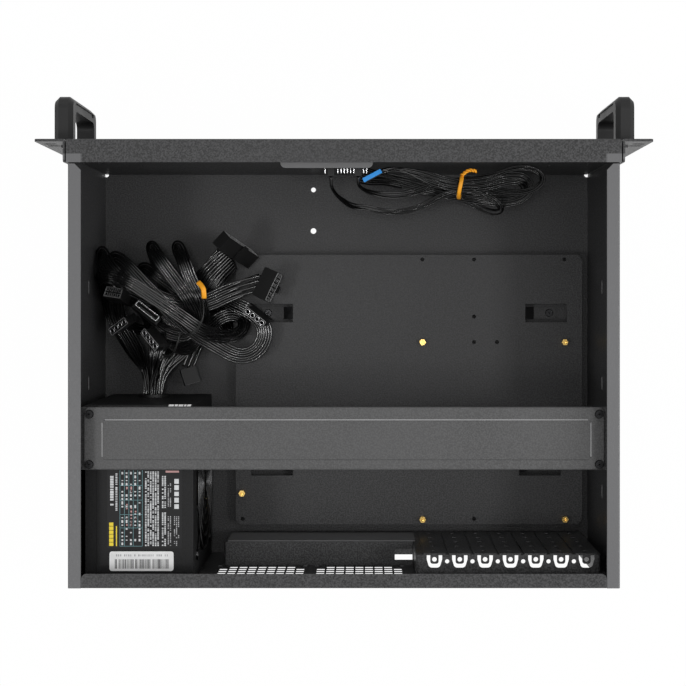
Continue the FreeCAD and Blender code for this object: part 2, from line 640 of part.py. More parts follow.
def tray_screws():
    return [screw((tongue_screw_x(x), y, 2 * SHEET), (0, 0, -1), 3.4, 1.9, 1.55, SHEET)
            for x, y in TRAY_SLOTS]


def standoffs():
    """Brass spacers: a hexagonal body with a threaded bore, and a stud through the tray."""
    bodies = []
    for x, y in STANDOFF_PLACES:
        body = hexagon_bar(STANDOFF_AF, STANDOFF_H, x, y, TRAY_TOP)
        stud = cylinder(1.5, 4.0, (x, y, TRAY_TOP - 4.0), (0, 0, 1))
        bore = cylinder(1.3, 5.0, (x, y, TRAY_TOP + STANDOFF_H - 5.0), (0, 0, 1))
        bodies.append(body.fuse(stud).cut(bore))
    return bodies


# --- cross beam and its brackets ------------------------------------------------------------------
BRACKET_LEG = 26.0


def cross_beam():
    top = plate_z((-BEAM_X, BEAM_X), BEAM_Y, (BEAM_TOP - BEAM_SHEET, BEAM_TOP), 5)
    lips = []
    run = BEAM_X - BEAM_TAB
    for y in (BEAM_Y[0], BEAM_Y[1] - BEAM_SHEET):
        lips.append(plate_y((-run, run), (BEAM_TOP - BEAM_LIP, BEAM_TOP - BEAM_SHEET / 2),
                            (y, y + BEAM_SHEET), [2, 2, 0, 0]))
    beam = fuse([top] + lips)
    ridges = [e for e in beam.Edges
              if abs(e.BoundBox.ZMin - BEAM_TOP) < 1e-3 and e.BoundBox.XLength > 300
              and e.BoundBox.YLength < 1e-3]
    beam = beam.makeFillet(1.2, ridges)
    (x0, x1), (y0, y1) = BEAM_EMBOSS
    beam = beam.cut(plate_z((x0, x1), (y0, y1), (BEAM_TOP - EMBOSS_DEPTH, BEAM_TOP + 1), 3))
    brim = [e for e in beam.Edges
            if e.BoundBox.ZMin > BEAM_TOP - 1e-3 and e.BoundBox.XMin > x0 - 1e-3
            and e.BoundBox.XMax < x1 + 1e-3 and e.BoundBox.YMin > y0 - 1e-3 and e.BoundBox.YMax < y1 + 1e-3]
    beam = beam.makeChamfer(EMBOSS_DEPTH - 0.02, brim)
    under = plate_z((x0 + 0.8, x1 - 0.8), (y0 + 0.8, y1 - 0.8),
                    (BEAM_TOP - BEAM_SHEET - EMBOSS_DEPTH, BEAM_TOP - 1), 3)
    beam = fuse([beam, under])
    for side in (-1, 1):
        for y in BEAM_SCREW_Y:
            beam = beam.cut(cylinder(1.7, 6, (side * BEAM_SCREW_X, y, BEAM_TOP - 4), (0, 0, 1)))
    return beam


def beam_bracket():
    """An angle riveted to the left wall (+X): the beam is screwed down on its top leg."""
    top = plate_z((INNER_W - 17.0, INNER_W), BEAM_Y, (BEAM_TOP - BEAM_SHEET - SHEET, BEAM_TOP - BEAM_SHEET),
                  [3, 0, 0, 3])
    leg = plate_x(BEAM_Y, (BEAM_TOP - BRACKET_LEG, BEAM_TOP - BEAM_SHEET), (INNER_W - SHEET, INNER_W),
                  [3, 3, 0, 0])
    bracket = fuse([top, leg])
    for y in BEAM_SCREW_Y:
        bracket = bracket.cut(cylinder(1.6, 6, (BEAM_SCREW_X, y, BEAM_TOP - 5), (0, 0, 1)))
    for y, z in BRACKET_RIVETS:
        bracket = bracket.cut(cylinder(RIVET_R, 6, (INNER_W - 3, y, z), (1, 0, 0)))
    return bracket


def beam_screws():
    return [screw((side * BEAM_SCREW_X, y, BEAM_TOP), (0, 0, -1), 3.6, 2.0, 1.55, 4.5)
            for side in (-1, 1) for y in BEAM_SCREW_Y]


# --- board blanking plate and card slot covers -----------------------------------------------------
def io_blank_plate():
    """The thin plate that closes the board's socket opening from inside, with pressed knock-out rings."""
    sheet = 0.8
    plate = plate_y(IO_X, IO_Z, (RECESS_Y - sheet, RECESS_Y), 1.0)
    middle = (IO_Z[0] + IO_Z[1]) / 2
    rings = []
    for x, radius in ((75.0, 9.0), (45.0, 6.0), (20.0, 6.0), (-8.0, 8.0), (-36.0, 5.0)):
        mark = cylinder(radius, 0.3, (x, RECESS_Y - 0.3, middle), (0, 1, 0))
        rings.append(mark.cut(cylinder(radius - 0.8, 0.3, (x, RECESS_Y - 0.3, middle), (0, 1, 0))))
    return plate.cut(Part.makeCompound(rings))


def slot_cover(index):
    """A flat cover over one card slot, with a narrow tab folded back over the ledge's notch."""
    x = SLOT_FIRST_X - SLOT_PITCH * index
    face = RECESS_Y - COVER_T
    head = SLOT_LEDGE_Z - COVER_GAP
    cover = plate_y(around(x, COVER_W / 2), (COVER_FOOT_Z, head), (face, RECESS_Y), [2, 2, 1.5, 1.5])
    tab = plate_z(around(x, COVER_TAB[0] / 2), (face, RECESS_Y + COVER_TAB[1]), (head - COVER_T, head),
                  [0, 0, 2, 2])
    cover = fuse([cover, tab])
    cuts = [cylinder(1.9, 4, (x, RECESS_Y + 3.9, SLOT_LEDGE_Z - 3), (0, 0, 1))]
    for i in range(COVER_HOLES):
        cuts.append(cylinder(2.0, 4, (x, RECESS_Y - 3, COVER_FOOT_Z + 9.0 + COVER_HOLE_PITCH * i), (0, 1, 0)))
    return cover.cut(Part.makeCompound(cuts))


# --- power supply -----------------------------------------------------------------------------------
PSU_GLAND = (166.0, 44.0, 11.0)       # x, z and radius of the cable outlet in the front face
INLET_X = 162.0
INLET_Z = 118.0
ROCKER_X = 188.6
ROCKER_Z = 118.0
INLET_HALF = (13.4, 9.9)              # half width and half height of the inlet's body
ROCKER_HALF = (6.4, 9.4)
PSU_VENTS = 8
PSU_VENT = (5.2, 6.4)
PSU_VENT_FIRST = (136.0, 26.0)
PSU_VENT_PITCH = (7.6, 9.0)


def psu_base():
    """The supply's open box: its floor side at +X, the rear face with the vents, and the front face."""
    x = (PSU_X[0] + PSU_SHEET, PSU_X[1])
    shell = box(x, PSU_Y, PSU_Z)
    hollow = box((x[0] - 1, x[1] - PSU_SHEET), (PSU_Y[0] + PSU_SHEET, PSU_Y[1] - PSU_SHEET),
                 (PSU_Z[0] - 1, PSU_Z[1] + 1))
    shell = shell.cut(hollow)
    # Narrow turned-in rims at the top and bottom edge of the +X side, up to the cover's seam.
    rims = []
    for z in ((PSU_Z[0], PSU_Z[0] + PSU_SHEET), (PSU_Z[1] - PSU_SHEET, PSU_Z[1])):
        rims.append(box((PSU_SEAM_X + 0.15, PSU_X[1]), PSU_Y, z))
    shell = fuse([shell] + rims)
    # The front and rear faces stand inside the cover.
    for z in ((PSU_Z[0] - 1, PSU_Z[0] + PSU_SHEET), (PSU_Z[1] - PSU_SHEET, PSU_Z[1] + 1)):
        shell = shell.cut(box((PSU_X[0] - 1, PSU_SEAM_X + 0.15), (PSU_Y[0] - 1, PSU_Y[1] + 1), z))
    cuts = [cylinder(PSU_GLAND[2], 4, (PSU_GLAND[0], PSU_Y[0] - 2, PSU_GLAND[1]), (0, 1, 0))]
    for x_s, z_s in PSU_SCREWS:
        cuts.append(cylinder(1.7, 4, (x_s, PSU_Y[1] - 2, z_s), (0, 1, 0)))
    rear = (PSU_Y[1] - 2, PSU_Y[1] + 1)
    cuts.append(box(around(INLET_X, INLET_HALF[0] + FIT), rear, around(INLET_Z, INLET_HALF[1] + FIT)))
    cuts.append(box(around(ROCKER_X, ROCKER_HALF[0] + 0.2), rear, around(ROCKER_Z, ROCKER_HALF[1] + 0.2)))
    for i in range(PSU_VENTS):
        for j in range(PSU_VENTS):
            x_vent = PSU_VENT_FIRST[0] + i * PSU_VENT_PITCH[0]
            z_vent = PSU_VENT_FIRST[1] + j * PSU_VENT_PITCH[1]
            cuts.append(box(around(x_vent, PSU_VENT[0] / 2), rear, around(z_vent, PSU_VENT[1] / 2)))
    return shell.cut(Part.makeCompound(cuts))


def psu_cover():
    """The U-shaped cover: the fan side at -X and the top and bottom sides up to the seam."""
    front = PSU_Y[0]
    low, high = PSU_Z
    outside = PSU_X[0]
    inside = outside + PSU_SHEET
    outline = [V(PSU_SEAM_X, front, high), V(outside, front, high), V(outside, front, low),
               V(PSU_SEAM_X, front, low), V(PSU_SEAM_X, front, low + PSU_SHEET),
               V(inside, front, low + PSU_SHEET), V(inside, front, high - PSU_SHEET),
               V(PSU_SEAM_X, front, high - PSU_SHEET)]
    cover = prism(outline, [0, BEND, BEND, 0, 0, 0, 0, 0], V(0, PSU_Y[1] - PSU_Y[0], 0))
    cuts = [cylinder(PSU_FAN_R, 4, (outside - 2, PSU_FAN_Y, PSU_FAN_Z), (1, 0, 0))]
    for y, z in psu_fan_screw_places():
        cuts.append(cylinder(2.2, 4, (outside - 2, y, z), (1, 0, 0)))
    return cover.cut(Part.makeCompound(cuts))


def psu_fan_screw_places():
    """The four corners of the fan's screw square, as (y, z)."""
    return [(PSU_FAN_Y + side_y * PSU_FAN_SCREWS, PSU_FAN_Z + side_z * PSU_FAN_SCREWS)
            for side_y in (-1, 1) for side_z in (-1, 1)]


def psu_fan_frame():
    """A square fan housing with a round duct, and a motor seat on four struts."""
    x = (PSU_X[0] + PSU_SHEET, PSU_X[0] + PSU_SHEET + PSU_FAN_T)
    half = 60.0
    frame = plate_x((PSU_FAN_Y - half, PSU_FAN_Y + half), (PSU_FAN_Z - half, PSU_FAN_Z + half), x, 6)
    frame = frame.cut(cylinder(PSU_FAN_R + 1.5, PSU_FAN_T + 2, (x[0] - 1, PSU_FAN_Y, PSU_FAN_Z), (1, 0, 0)))
    seat = cylinder(19.0, 3.0, (x[1] - 3.0, PSU_FAN_Y, PSU_FAN_Z), (1, 0, 0))
    struts = []
    for k in range(4):
        bar = box((x[1] - 3.0, x[1]), (15, PSU_FAN_R + 2.5), (-2.5, 2.5))
        bar.rotate(V(0, 0, 0), V(1, 0, 0), 45 + 90 * k)
        bar.translate(V(0, PSU_FAN_Y, PSU_FAN_Z))
        struts.append(bar)
    cuts = [cylinder(2.2, PSU_FAN_T + 2, (x[0] - 1, y, z), (1, 0, 0)) for y, z in psu_fan_screw_places()]
    shaft_hole = cylinder(1.7, 6, (x[1] - 4, PSU_FAN_Y, PSU_FAN_Z), (1, 0, 0))
    return fuse([frame, seat] + struts).cut(Part.makeCompound(cuts + [shaft_hole]))


def psu_fan_rotor():
    """A hub and seven swept, twisted blades."""
    x0 = PSU_X[0] + PSU_SHEET + 3.0
    hub = cylinder(20.0, 17.0, (x0, PSU_FAN_Y, PSU_FAN_Z), (1, 0, 0))
    rim = [e for e in hub.Edges if abs(e.CenterOfMass.x - x0) < 1e-3 and e.Curve.TypeId == "Part::GeomCircle"]
    hub = hub.makeFillet(2.5, rim)
    shaft = cylinder(1.5, 5.0, (x0 + 16.0, PSU_FAN_Y, PSU_FAN_Z), (1, 0, 0))
    blades = [rotor_blade(x0, 360.0 / 7 * k) for k in range(7)]
    return fuse([hub] + blades + [shaft])


def rotor_blade(x0, turn):
    """One blade, lofted between a steep root section and a flatter tip section."""
    sections = []
    for radius, sweep, pitch in ((18.0, 0.0, 48.0), (36.0, 10.0, 36.0), (54.0, 24.0, 28.0)):
        chord = 13.0 + 0.28 * radius
        rise = chord * math.sin(math.radians(pitch)) / 2
        run = chord * math.cos(math.radians(pitch)) / 2
        thick = 0.9
        corners = []
        for sx, sy, off in ((-1, -1, -thick), (1, 1, -thick), (1, 1, thick), (-1, -1, thick)):
            angle = math.radians(turn + sweep)
            along = sy * run
            y = radius * math.cos(angle) - along * math.sin(angle)
            z = radius * math.sin(angle) + along * math.cos(angle)
            corners.append(V(x0 + 8.5 + sx * rise + off, PSU_FAN_Y + y, PSU_FAN_Z + z))
        sections.append(Part.makePolygon(corners + [corners[0]]))
    return Part.makeLoft(sections, True, True)


def psu_fan_guard():
    """A wire guard: round rings on a cross of spokes, with four screw eyes."""
    x = PSU_X[0] - 1.7
    wire = 0.9
    bodies = []
    for radius in (14.0, 24.0, 34.0, 44.0, 54.0):
        bodies.append(Part.makeTorus(radius, wire, V(x, PSU_FAN_Y, PSU_FAN_Z), V(1, 0, 0)))
    for k in range(2):
        for side in (-1, 1):
            angle = math.radians(45 + 90 * k)
            direction = V(0, side * math.cos(angle), side * math.sin(angle))
            base = V(x + 0.7, PSU_FAN_Y, PSU_FAN_Z)
            reach = PSU_FAN_SCREWS * math.sqrt(2)
            bodies.append(Part.makeCylinder(wire, reach - 3.2, base, direction))
            eye_at = base + direction * reach
            eye = Part.makeCylinder(4.2, 1.6, eye_at - V(0.7, 0, 0), V(1, 0, 0))
            bodies.append(eye.cut(Part.makeCylinder(2.0, 4, eye_at - V(2, 0, 0), V(1, 0, 0))))
    return bodies[0].multiFuse(bodies[1:])


def psu_inlet():
    """A three-pin mains inlet: a moulded body with a keyed recess and three blades."""
    y = (PSU_Y[1] - 22.0, PSU_Y[1] + 3.0)
    body = box(around(INLET_X, INLET_HALF[0]), y, around(INLET_Z, INLET_HALF[1]))
    flange = plate_y((INLET_X - 15.5, INLET_X + 15.5), (INLET_Z - 12.0, INLET_Z + 12.0),
                     (PSU_Y[1], PSU_Y[1] + 3.0), 3)
    well_outline = [V(INLET_X - 12.1, y[0] + 4, INLET_Z - 8.0), V(INLET_X + 12.1, y[0] + 4, INLET_Z - 8.0),
                    V(INLET_X + 12.1, y[0] + 4, INLET_Z + 3.4), V(INLET_X + 7.5, y[0] + 4, INLET_Z + 8.0),
                    V(INLET_X - 7.5, y[0] + 4, INLET_Z + 8.0), V(INLET_X - 12.1, y[0] + 4, INLET_Z + 3.4)]
    well = prism(well_outline, 0, V(0, 40, 0))
    inlet = fuse([body, flange]).cut(well)
    pins = []
    for dx, dz in ((-7.0, -2.0), (0.0, 2.0), (7.0, -2.0)):
        pins.append(box((INLET_X + dx - 1.0, INLET_X + dx + 1.0), (y[0] + 3.5, PSU_Y[1] - 1.0),
                        (INLET_Z + dz - 2.0, INLET_Z + dz + 2.0)))
    return fuse([inlet] + pins)


def psu_rocker_frame():
    """The rocker switch's moulded frame, open at the rear."""
    y = (PSU_Y[1] - 14.0, PSU_Y[1] + 2.0)
    half_x, half_z = ROCKER_HALF
    body = box(around(ROCKER_X, half_x), y, around(ROCKER_Z, half_z))
    flange = plate_y(around(ROCKER_X, half_x + 1.2), around(ROCKER_Z, half_z + 1.2), (PSU_Y[1], y[1]), 1)
    well = box(around(ROCKER_X, half_x - 1.2), (y[0] + 1.5, y[1] + 1), around(ROCKER_Z, half_z - 1.2))
    bore = cylinder(1.0, 14, (ROCKER_X - 7, PSU_Y[1] - 4.0, ROCKER_Z), (1, 0, 0))
    return fuse([body, flange]).cut(well).cut(bore)


ROCKER_TILT = 8.0


def psu_rocker():
    """The rocker itself, a shallow V in section, on its cross pin, tipped to one side."""
    y0 = PSU_Y[1] - 4.0
    half = 7.4
    profile = ((-3.0, -3.0), (-3.0, 3.0), (5.2, half), (6.2, half - 0.6), (4.6, 0.0), (6.2, 0.6 - half),
               (5.2, -half))
    section = [V(ROCKER_X - 4.9, y0 + out, ROCKER_Z + up) for out, up in profile]
    body = Part.Face(Part.makePolygon(section + [section[0]])).extrude(V(9.8, 0, 0))
    pin = cylinder(0.95, 12.4, (ROCKER_X - 6.2, y0, ROCKER_Z), (1, 0, 0))
    rocker = fuse([body, pin])
    rocker.rotate(V(ROCKER_X, y0, ROCKER_Z), V(1, 0, 0), ROCKER_TILT)
    return rocker


def psu_board():
    """The supply's circuit board with its transformer, capacitors and heat sinks, as built up on it."""
    board = box((PSU_X[1] - 12.0, PSU_X[1] - 10.4), (PSU_Y[0] + 6, PSU_Y[1] - 30),
                (PSU_Z[0] + 5, PSU_Z[1] - 5))
    bodies = [board]
    x_top = PSU_X[1] - 12.0
    for y, z in ((70.0, 40.0), (92.0, 40.0)):
        bodies.append(cylinder(9.0, 26.0, (x_top + 0.01, y, z), (-1, 0, 0)))
    bodies.append(box((x_top - 24, x_top + 0.01), (64.0, 96.0), (62.0, 92.0)))
    for z in (108.0, 26.0):
        bodies.append(box((x_top - 28, x_top + 0.01), (60.0, 120.0), (z, z + 3.0)))
    return fuse(bodies)


def psu_gland():
    """A snap-in bushing round the cable outlet."""
    x, z, radius = PSU_GLAND
    body = cylinder(radius, 5.0, (x, PSU_Y[0] - 2.5, z), (0, 1, 0))
    flange = cylinder(radius + 2.0, 2.5, (x, PSU_Y[0] - 2.5, z), (0, 1, 0))
    return fuse([body, flange]).cut(cylinder(radius - 1.8, 8, (x, PSU_Y[0] - 4, z), (0, 1, 0)))


def psu_screws():
    return [screw((x, BODY_REAR, z), (0, -1, 0), 3.8, 2.0, 1.65, 6.0) for x, z in PSU_SCREWS]


def psu_labels():
    """The rating plate and a white sticker, laid on the upward side of the cover."""
    top = PSU_Z[1]
    plate = plate_z((128.8, 188.5), (68.0, 147.8), (top, top + 0.2), 0.5)
    sticker = plate_z((135.6, 186.5), (150.2, 165.7), (top, top + 0.2), 2.0)
    return plate, sticker


# --- cables -----------------------------------------------------------------------------------------
# Each route is the cable's centre line in order: diameter, then points. The power supply's cables
# leave through its bushing, loop in the space in front of it and end in their plugs.
CABLES = {
    "main_cable": (6.0, [
        (166, 33, 44), (166, 14, 44), (160, -4, 32), (154, -22, 38), (144, -34, 36), (131, -49, 40),
        (117, -66, 52), (107, -79, 50), (99.4, -87.4, 45),
    ]),
    "drive_cable_1": (5.0, [
        (171.4, 33, 47.1), (171.4, 14, 47.1), (182, -6, 32), (197, -30, 30), (199, -56, 42), (199, -86, 60),
        (188, -82, 80), (172, -65, 83), (153, -46, 80), (134, -26, 66), (114, -12, 46), (92, 1, 38),
        (75, -6, 36), (69, -24, 36), (80, -38, 38), (97, -46, 36), (116, -56, 30), (135, -60, 29),
        (155, -57, 30), (174, -49, 38), (186, -46.5, 54), (189, -51, 69),
    ]),
    "board_cable": (5.0, [
        (166, 33, 50.2), (166, 14, 50.2), (160, -6, 58), (163, -30, 44), (184, -52, 28), (205, -70, 30),
        (209, -92, 56), (203, -80, 76), (189, -65, 80), (167, -54, 68), (145, -45, 58), (121, -45, 54),
        (96, -58, 52), (73, -65, 44),
    ]),
    "drive_cable_2": (5.0, [
        (160.6, 33, 47.1), (160.6, 14, 47.1), (150, -4, 44), (148, -30, 22), (158, -58, 16), (166, -84, 24),
        (168, -98, 48), (160, -88, 72), (146, -69, 72), (134, -53, 74), (125, -32, 52), (138, -17, 44),
        (156, -22, 48), (166, -33, 60), (167.8, -36.8, 76),
    ]),
    "drive_cable_3": (5.0, [
        (160.6, 33, 40.9), (160.6, 14, 40.9), (138, -8, 30), (128, -32, 17), (134, -62, 14), (144, -86, 22),
        (146, -98, 46), (138, -86, 70), (131, -66, 70), (121, -47, 66), (123, -26, 40), (132, -10, 36),
        (141, -6, 50), (150, -9, 60), (157, -17, 69),
    ]),
    "card_cable": (5.0, [
        (171.4, 33, 40.9), (171.4, 14, 40.9), (188, -6, 20), (205, -30, 12), (209, -54, 26), (209, -68, 52),
        (205, -70, 82), (182, -67, 102), (163, -54, 96), (142, -40, 92), (122, -24, 76),
        (106, -17, 56), (91, -20, 43), (87, -32, 28), (99, -38, 26), (112, -33, 31), (125, -20, 25),
        (134, -5, 18), (139, 10, 20),
    ]),
    "drive_cable_4": (5.0, [
        (166, 33, 37.8), (166, 14, 37.8), (168, -12, 20), (176, -36, 10), (184, -60, 14), (178, -80, 32),
        (166, -74, 52), (146, -58, 44), (135, -44, 28), (119, -32, 22), (108, -18, 16), (103, -29, 10),
        (112, -42, 8), (133, -39, 8), (154, -27, 8), (172, -22, 12), (182, -24, 26), (186, -28, 42),
        (186, -30, 57),
    ]),
    "switch_cable": (2.5, [
        (10.6, -148, 149), (10.6, -142, 147), (9, -137, 139), (3, -131, 128), (-6, -125, 116),
        (-18, -125, 108),
        (-31, -122, 102), (-48, -122, 98), (-66, -128, 98), (-84, -138, 102), (-103, -141, 108),
        (-122, -133, 111), (-131, -123, 104), (-121, -121, 94), (-104, -131, 86), (-90, -138, 88),
    ]),
    "lamp_cable": (2.5, [
        (-11, -148, 149), (-11, -142, 147), (-14, -139, 136), (-24, -136, 124), (-38, -134, 114),
        (-55, -136, 108),
        (-75, -145, 108), (-96, -148, 112), (-118, -150, 122), (-136, -156, 136), (-152, -155, 142),
        (-161, -147, 136), (-153, -138, 126), (-135, -136, 116), (-116, -142, 106), (-97, -145, 98),
        (-80, -144, 96),
    ]),
    "usb_cable": (4.0, [
        (-29, -152, 140), (-36, -155, 139), (-47, -154, 135), (-61, -151, 128), (-80, -145, 121),
        (-98, -142, 119), (-118, -144, 122), (-134, -149, 124), (-147, -147, 122), (-151, -138, 114),
        (-139, -131, 106), (-120, -132, 98), (-99, -136, 93), (-74, -140, 93), (-52, -146, 100),
        (-33, -149, 112), (-19, -149, 124), (-12, -151.5, 133),
    ]),
}
BEND_SHARE = 0.45         # share of the shorter run that a bend's arc takes


def cable(name):
    """A cable's tube: straight runs with a tangent arc at each point of its route."""
    diameter, places = CABLES[name]
    points = [V(*place) for place in places]
    edges = []
    radii = []
    last = points[0]
    for before, here, after in zip(points, points[1:], points[2:]):
        back = before - here
        ahead = after - here
        reach = BEND_SHARE * min(back.Length, ahead.Length)
        half = back.getAngle(ahead) / 2
        back.normalize()
        ahead.normalize()
        start = here + back * reach
        end = here + ahead * reach
        radius = reach * math.tan(half)
        inward = back + ahead
        inward.normalize()
        middle = here + inward * (math.hypot(reach, radius) - radius)
        edges.append(Part.LineSegment(last, start).toShape())
        edges.append(Part.Arc(start, middle, end).toShape())
        radii.append(radius)
        last = end
    edges.append(Part.LineSegment(last, points[-1]).toShape())
    path = Part.Wire(edges)
    ring = Part.Wire(Part.Circle(points[0], points[1] - points[0], diameter / 2).toShape())
    tube = path.makePipeShell([ring], True, True)
    expected = math.pi * diameter ** 2 / 4 * path.Length
    print(name, "length", round(path.Length), "volume share", round(tube.Volume / expected, 3),
          "radii", [round(radius) for radius in radii])
    return tube


# --- plugs and ties -----------------------------------------------------------------------------------
def placed(shape, wires_at, mouth, long_side):
    """Turn a plug made at the origin (wires at z = 0, mouth towards +Z, long side along X) into place."""
    z_axis = V(*mouth)
    z_axis.normalize()
    x_axis = V(*long_side)
    x_axis = x_axis - z_axis * x_axis.dot(z_axis)
    x_axis.normalize()
    y_axis = z_axis.cross(x_axis)
    matrix = FreeCAD.Matrix(x_axis.x, y_axis.x, z_axis.x, wires_at[0],
                            x_axis.y, y_axis.y, z_axis.y, wires_at[1],
                            x_axis.z, y_axis.z, z_axis.z, wires_at[2],
                            0, 0, 0, 1)
    turned = shape.copy()
    turned.Placement = FreeCAD.Placement(matrix)
    return turned


PLUG_PITCH = 4.2          # between the contacts of the square housings
PLUG_H = 14.0
DRIVE_PLUG_HALF = (10.5, 3.3)
DRIVE_PLUG_BEVEL = 1.9
DRIVE_PLUG_PITCH = 5.08
SMALL_PLUGS = ((-90, -138, 88), (-80, -144, 96))   # where the front cables' ends enter their plugs


def socket_plug(columns, rows, pitch, height, latch):
    """A housing with a square well for each contact, and a latch on one long side."""
    wide = columns * pitch + 1.2
    deep = rows * pitch + 1.2
    body = box((-wide / 2, wide / 2), (-deep / 2, deep / 2), (0, height))
    wells = []
    for i in range(columns):
        for j in range(rows):
            x = (i - (columns - 1) / 2) * pitch
            y = (j - (rows - 1) / 2) * pitch
            reach = pitch * 0.32
            wells.append(box((x - reach, x + reach), (y - reach, y + reach), (height - 5, height + 1)))
    body = body.cut(Part.makeCompound(wells))
    if latch:
        arm = box((-3.2, 3.2), (deep / 2 + 1.2, deep / 2 + 2.4), (2, height + 1.5))
        foot = box((-3.2, 3.2), (deep / 2 - 0.2, deep / 2 + 1.4), (height * 0.45, height * 0.45 + 2.5))
        body = fuse([body, arm, foot])
    return body


def drive_plug():
    """A four-way drive plug: round contacts in a row, and two bevelled corners."""
    wide, deep = DRIVE_PLUG_HALF
    outline = [V(-wide, -deep, 0), V(wide, -deep, 0), V(wide, deep - DRIVE_PLUG_BEVEL, 0),
               V(wide - DRIVE_PLUG_BEVEL, deep, 0), V(DRIVE_PLUG_BEVEL - wide, deep, 0),
               V(-wide, deep - DRIVE_PLUG_BEVEL, 0)]
    body = prism(outline, 0, V(0, 0, PLUG_H))
    grip = box((-wide - 1.1, wide + 1.1), (-deep, deep), (0, 4.5))
    wells = [cylinder(1.9, 7, (DRIVE_PLUG_PITCH * (i - 1.5), 0, PLUG_H - 6.0), (0, 0, 1)) for i in range(4)]
    return fuse([body, grip]).cut(Part.makeCompound(wells))


def disk_plug():
    """A flat fifteen-way drive plug with a slot and an end key."""
    body = box((-12.5, 12.5), (-3.2, 3.2), (0, 9))
    nose = box((-11.2, 11.2), (-2.7, 2.7), (8.5, 15))
    slot = box((-10.2, 8.6), (-1.2, 1.2), (9.5, 16))
    key = box((8.5, 10.0), (-1.2, 2.0), (9.5, 16))
    return fuse([body, nose]).cut(slot).cut(key)


# Each plug: its shape, where its wires enter, the way its mouth looks, and the run of its long side.
PLUG_PLACES = {
    "main_plug": ("24_way", (99.4, -87.4, 45.0), (-0.68, -0.72, 0.08), (0.42, -0.3, 0.86)),
    "board_plug": ("12_way", (73.0, -65.0, 44.0), (-0.80, 0.35, 0.48), (0.50, 0.86, 0.0)),
    "processor_plug": ("8_way", (189.0, -51.0, 69.0), (0.40, -0.35, 0.85), (-0.96, 0.28, 0.0)),
    "card_plug": ("6_way", (139.0, 10.0, 20.0), (-0.3, 0.95, 0.0), (0.9, 0.3, 0.2)),
    "disk_plug": ("disk", (167.8, -36.8, 76.0), (-0.20, -0.25, 0.95), (-0.79, 0.62, 0.0)),
    "drive_plug_1": ("drive", (157.0, -17.0, 69.0), (0.50, 0.05, 0.86), (-0.74, 0.68, 0.1)),
    "drive_plug_2": ("drive", (186.0, -30.0, 57.0), (0.45, 0.2, 0.87), (-0.85, -0.55, 0.2)),
    "fan_plug": ("drive", (74.5, -37.5, 39.5), (0.25, 0.20, 0.95), (-0.8, 0.6, 0.0)),
}


def plug_shape(kind):
    """A plug of one kind, its wires' side on the ground and its mouth up."""
    columns = {"24_way": 12, "12_way": 6, "8_way": 4, "6_way": 3}
    if kind in columns:
        return socket_plug(columns[kind], 2, PLUG_PITCH, PLUG_H, True)
    if kind == "disk":
        return disk_plug()
    return drive_plug()


def plugs():
    """Every plug by name, at the end of its cable."""
    return {name: placed(plug_shape(kind), wires_at, mouth, long_side)
            for name, (kind, wires_at, mouth, long_side) in PLUG_PLACES.items()}


def header_plugs():
    """The front cables' small housings on the pins, and the long USB housing on its cable's end."""
    bodies = []
    for x in HEADER_PLUGS_X:
        bodies.append(box((x - HEADER_PLUG_W / 2, x + HEADER_PLUG_W / 2), (HEADER_Y, -148.0),
                          (HEADER_Z - 3.0, HEADER_Z + 3.0)))
    for place in SMALL_PLUGS:
        small = box((-2.8, 2.8), (-1.4, 1.4), (-1, 9))
        bodies.append(placed(small, place, (0.96, -0.25, 0.1), (0.25, 0.96, 0.0)))
    strip = box((-6.5, 6.5), (-2.0, 2.0), (0, 5))
    bodies.append(placed(strip, (-22.8, -149.0, 137.5), (0.0, 0.0, 1.0), (0.88, 0.47, 0.0)))
    return bodies


def tie_ring(centre, axis, half_wide, half_high, wire):
    """A flat oval loop of tie round a bundle."""
    corners = [V(-half_wide, -half_high, -wire), V(half_wide, -half_high, -wire),
               V(half_wide, half_high, -wire), V(-half_wide, half_high, -wire)]
    grown = [V(p.x * (1 + 1.6 / half_wide), p.y * (1 + 1.6 / half_high), p.z) for p in corners]
    radius = min(half_wide, half_high) * 0.9
    outer = prism(grown, radius + 1.6, V(0, 0, 2 * wire))
    inner = prism(corners, radius, V(0, 0, 2 * wire))
    return placed(outer.cut(inner), centre, axis, (0.46, 0.89, 0.0))


def twist_ties():
    """The two loops that hold the cable bundles together."""
    return [
        tie_ring((131.0, -38.0, 52.0), (-0.887, 0.462, 0.0), 19.0, 46.5, 1.6),
        tie_ring((-98.0, -143.0, 108.0), (1.0, 0.0, 0.0), 9.5, 15.5, 1.2),
    ]


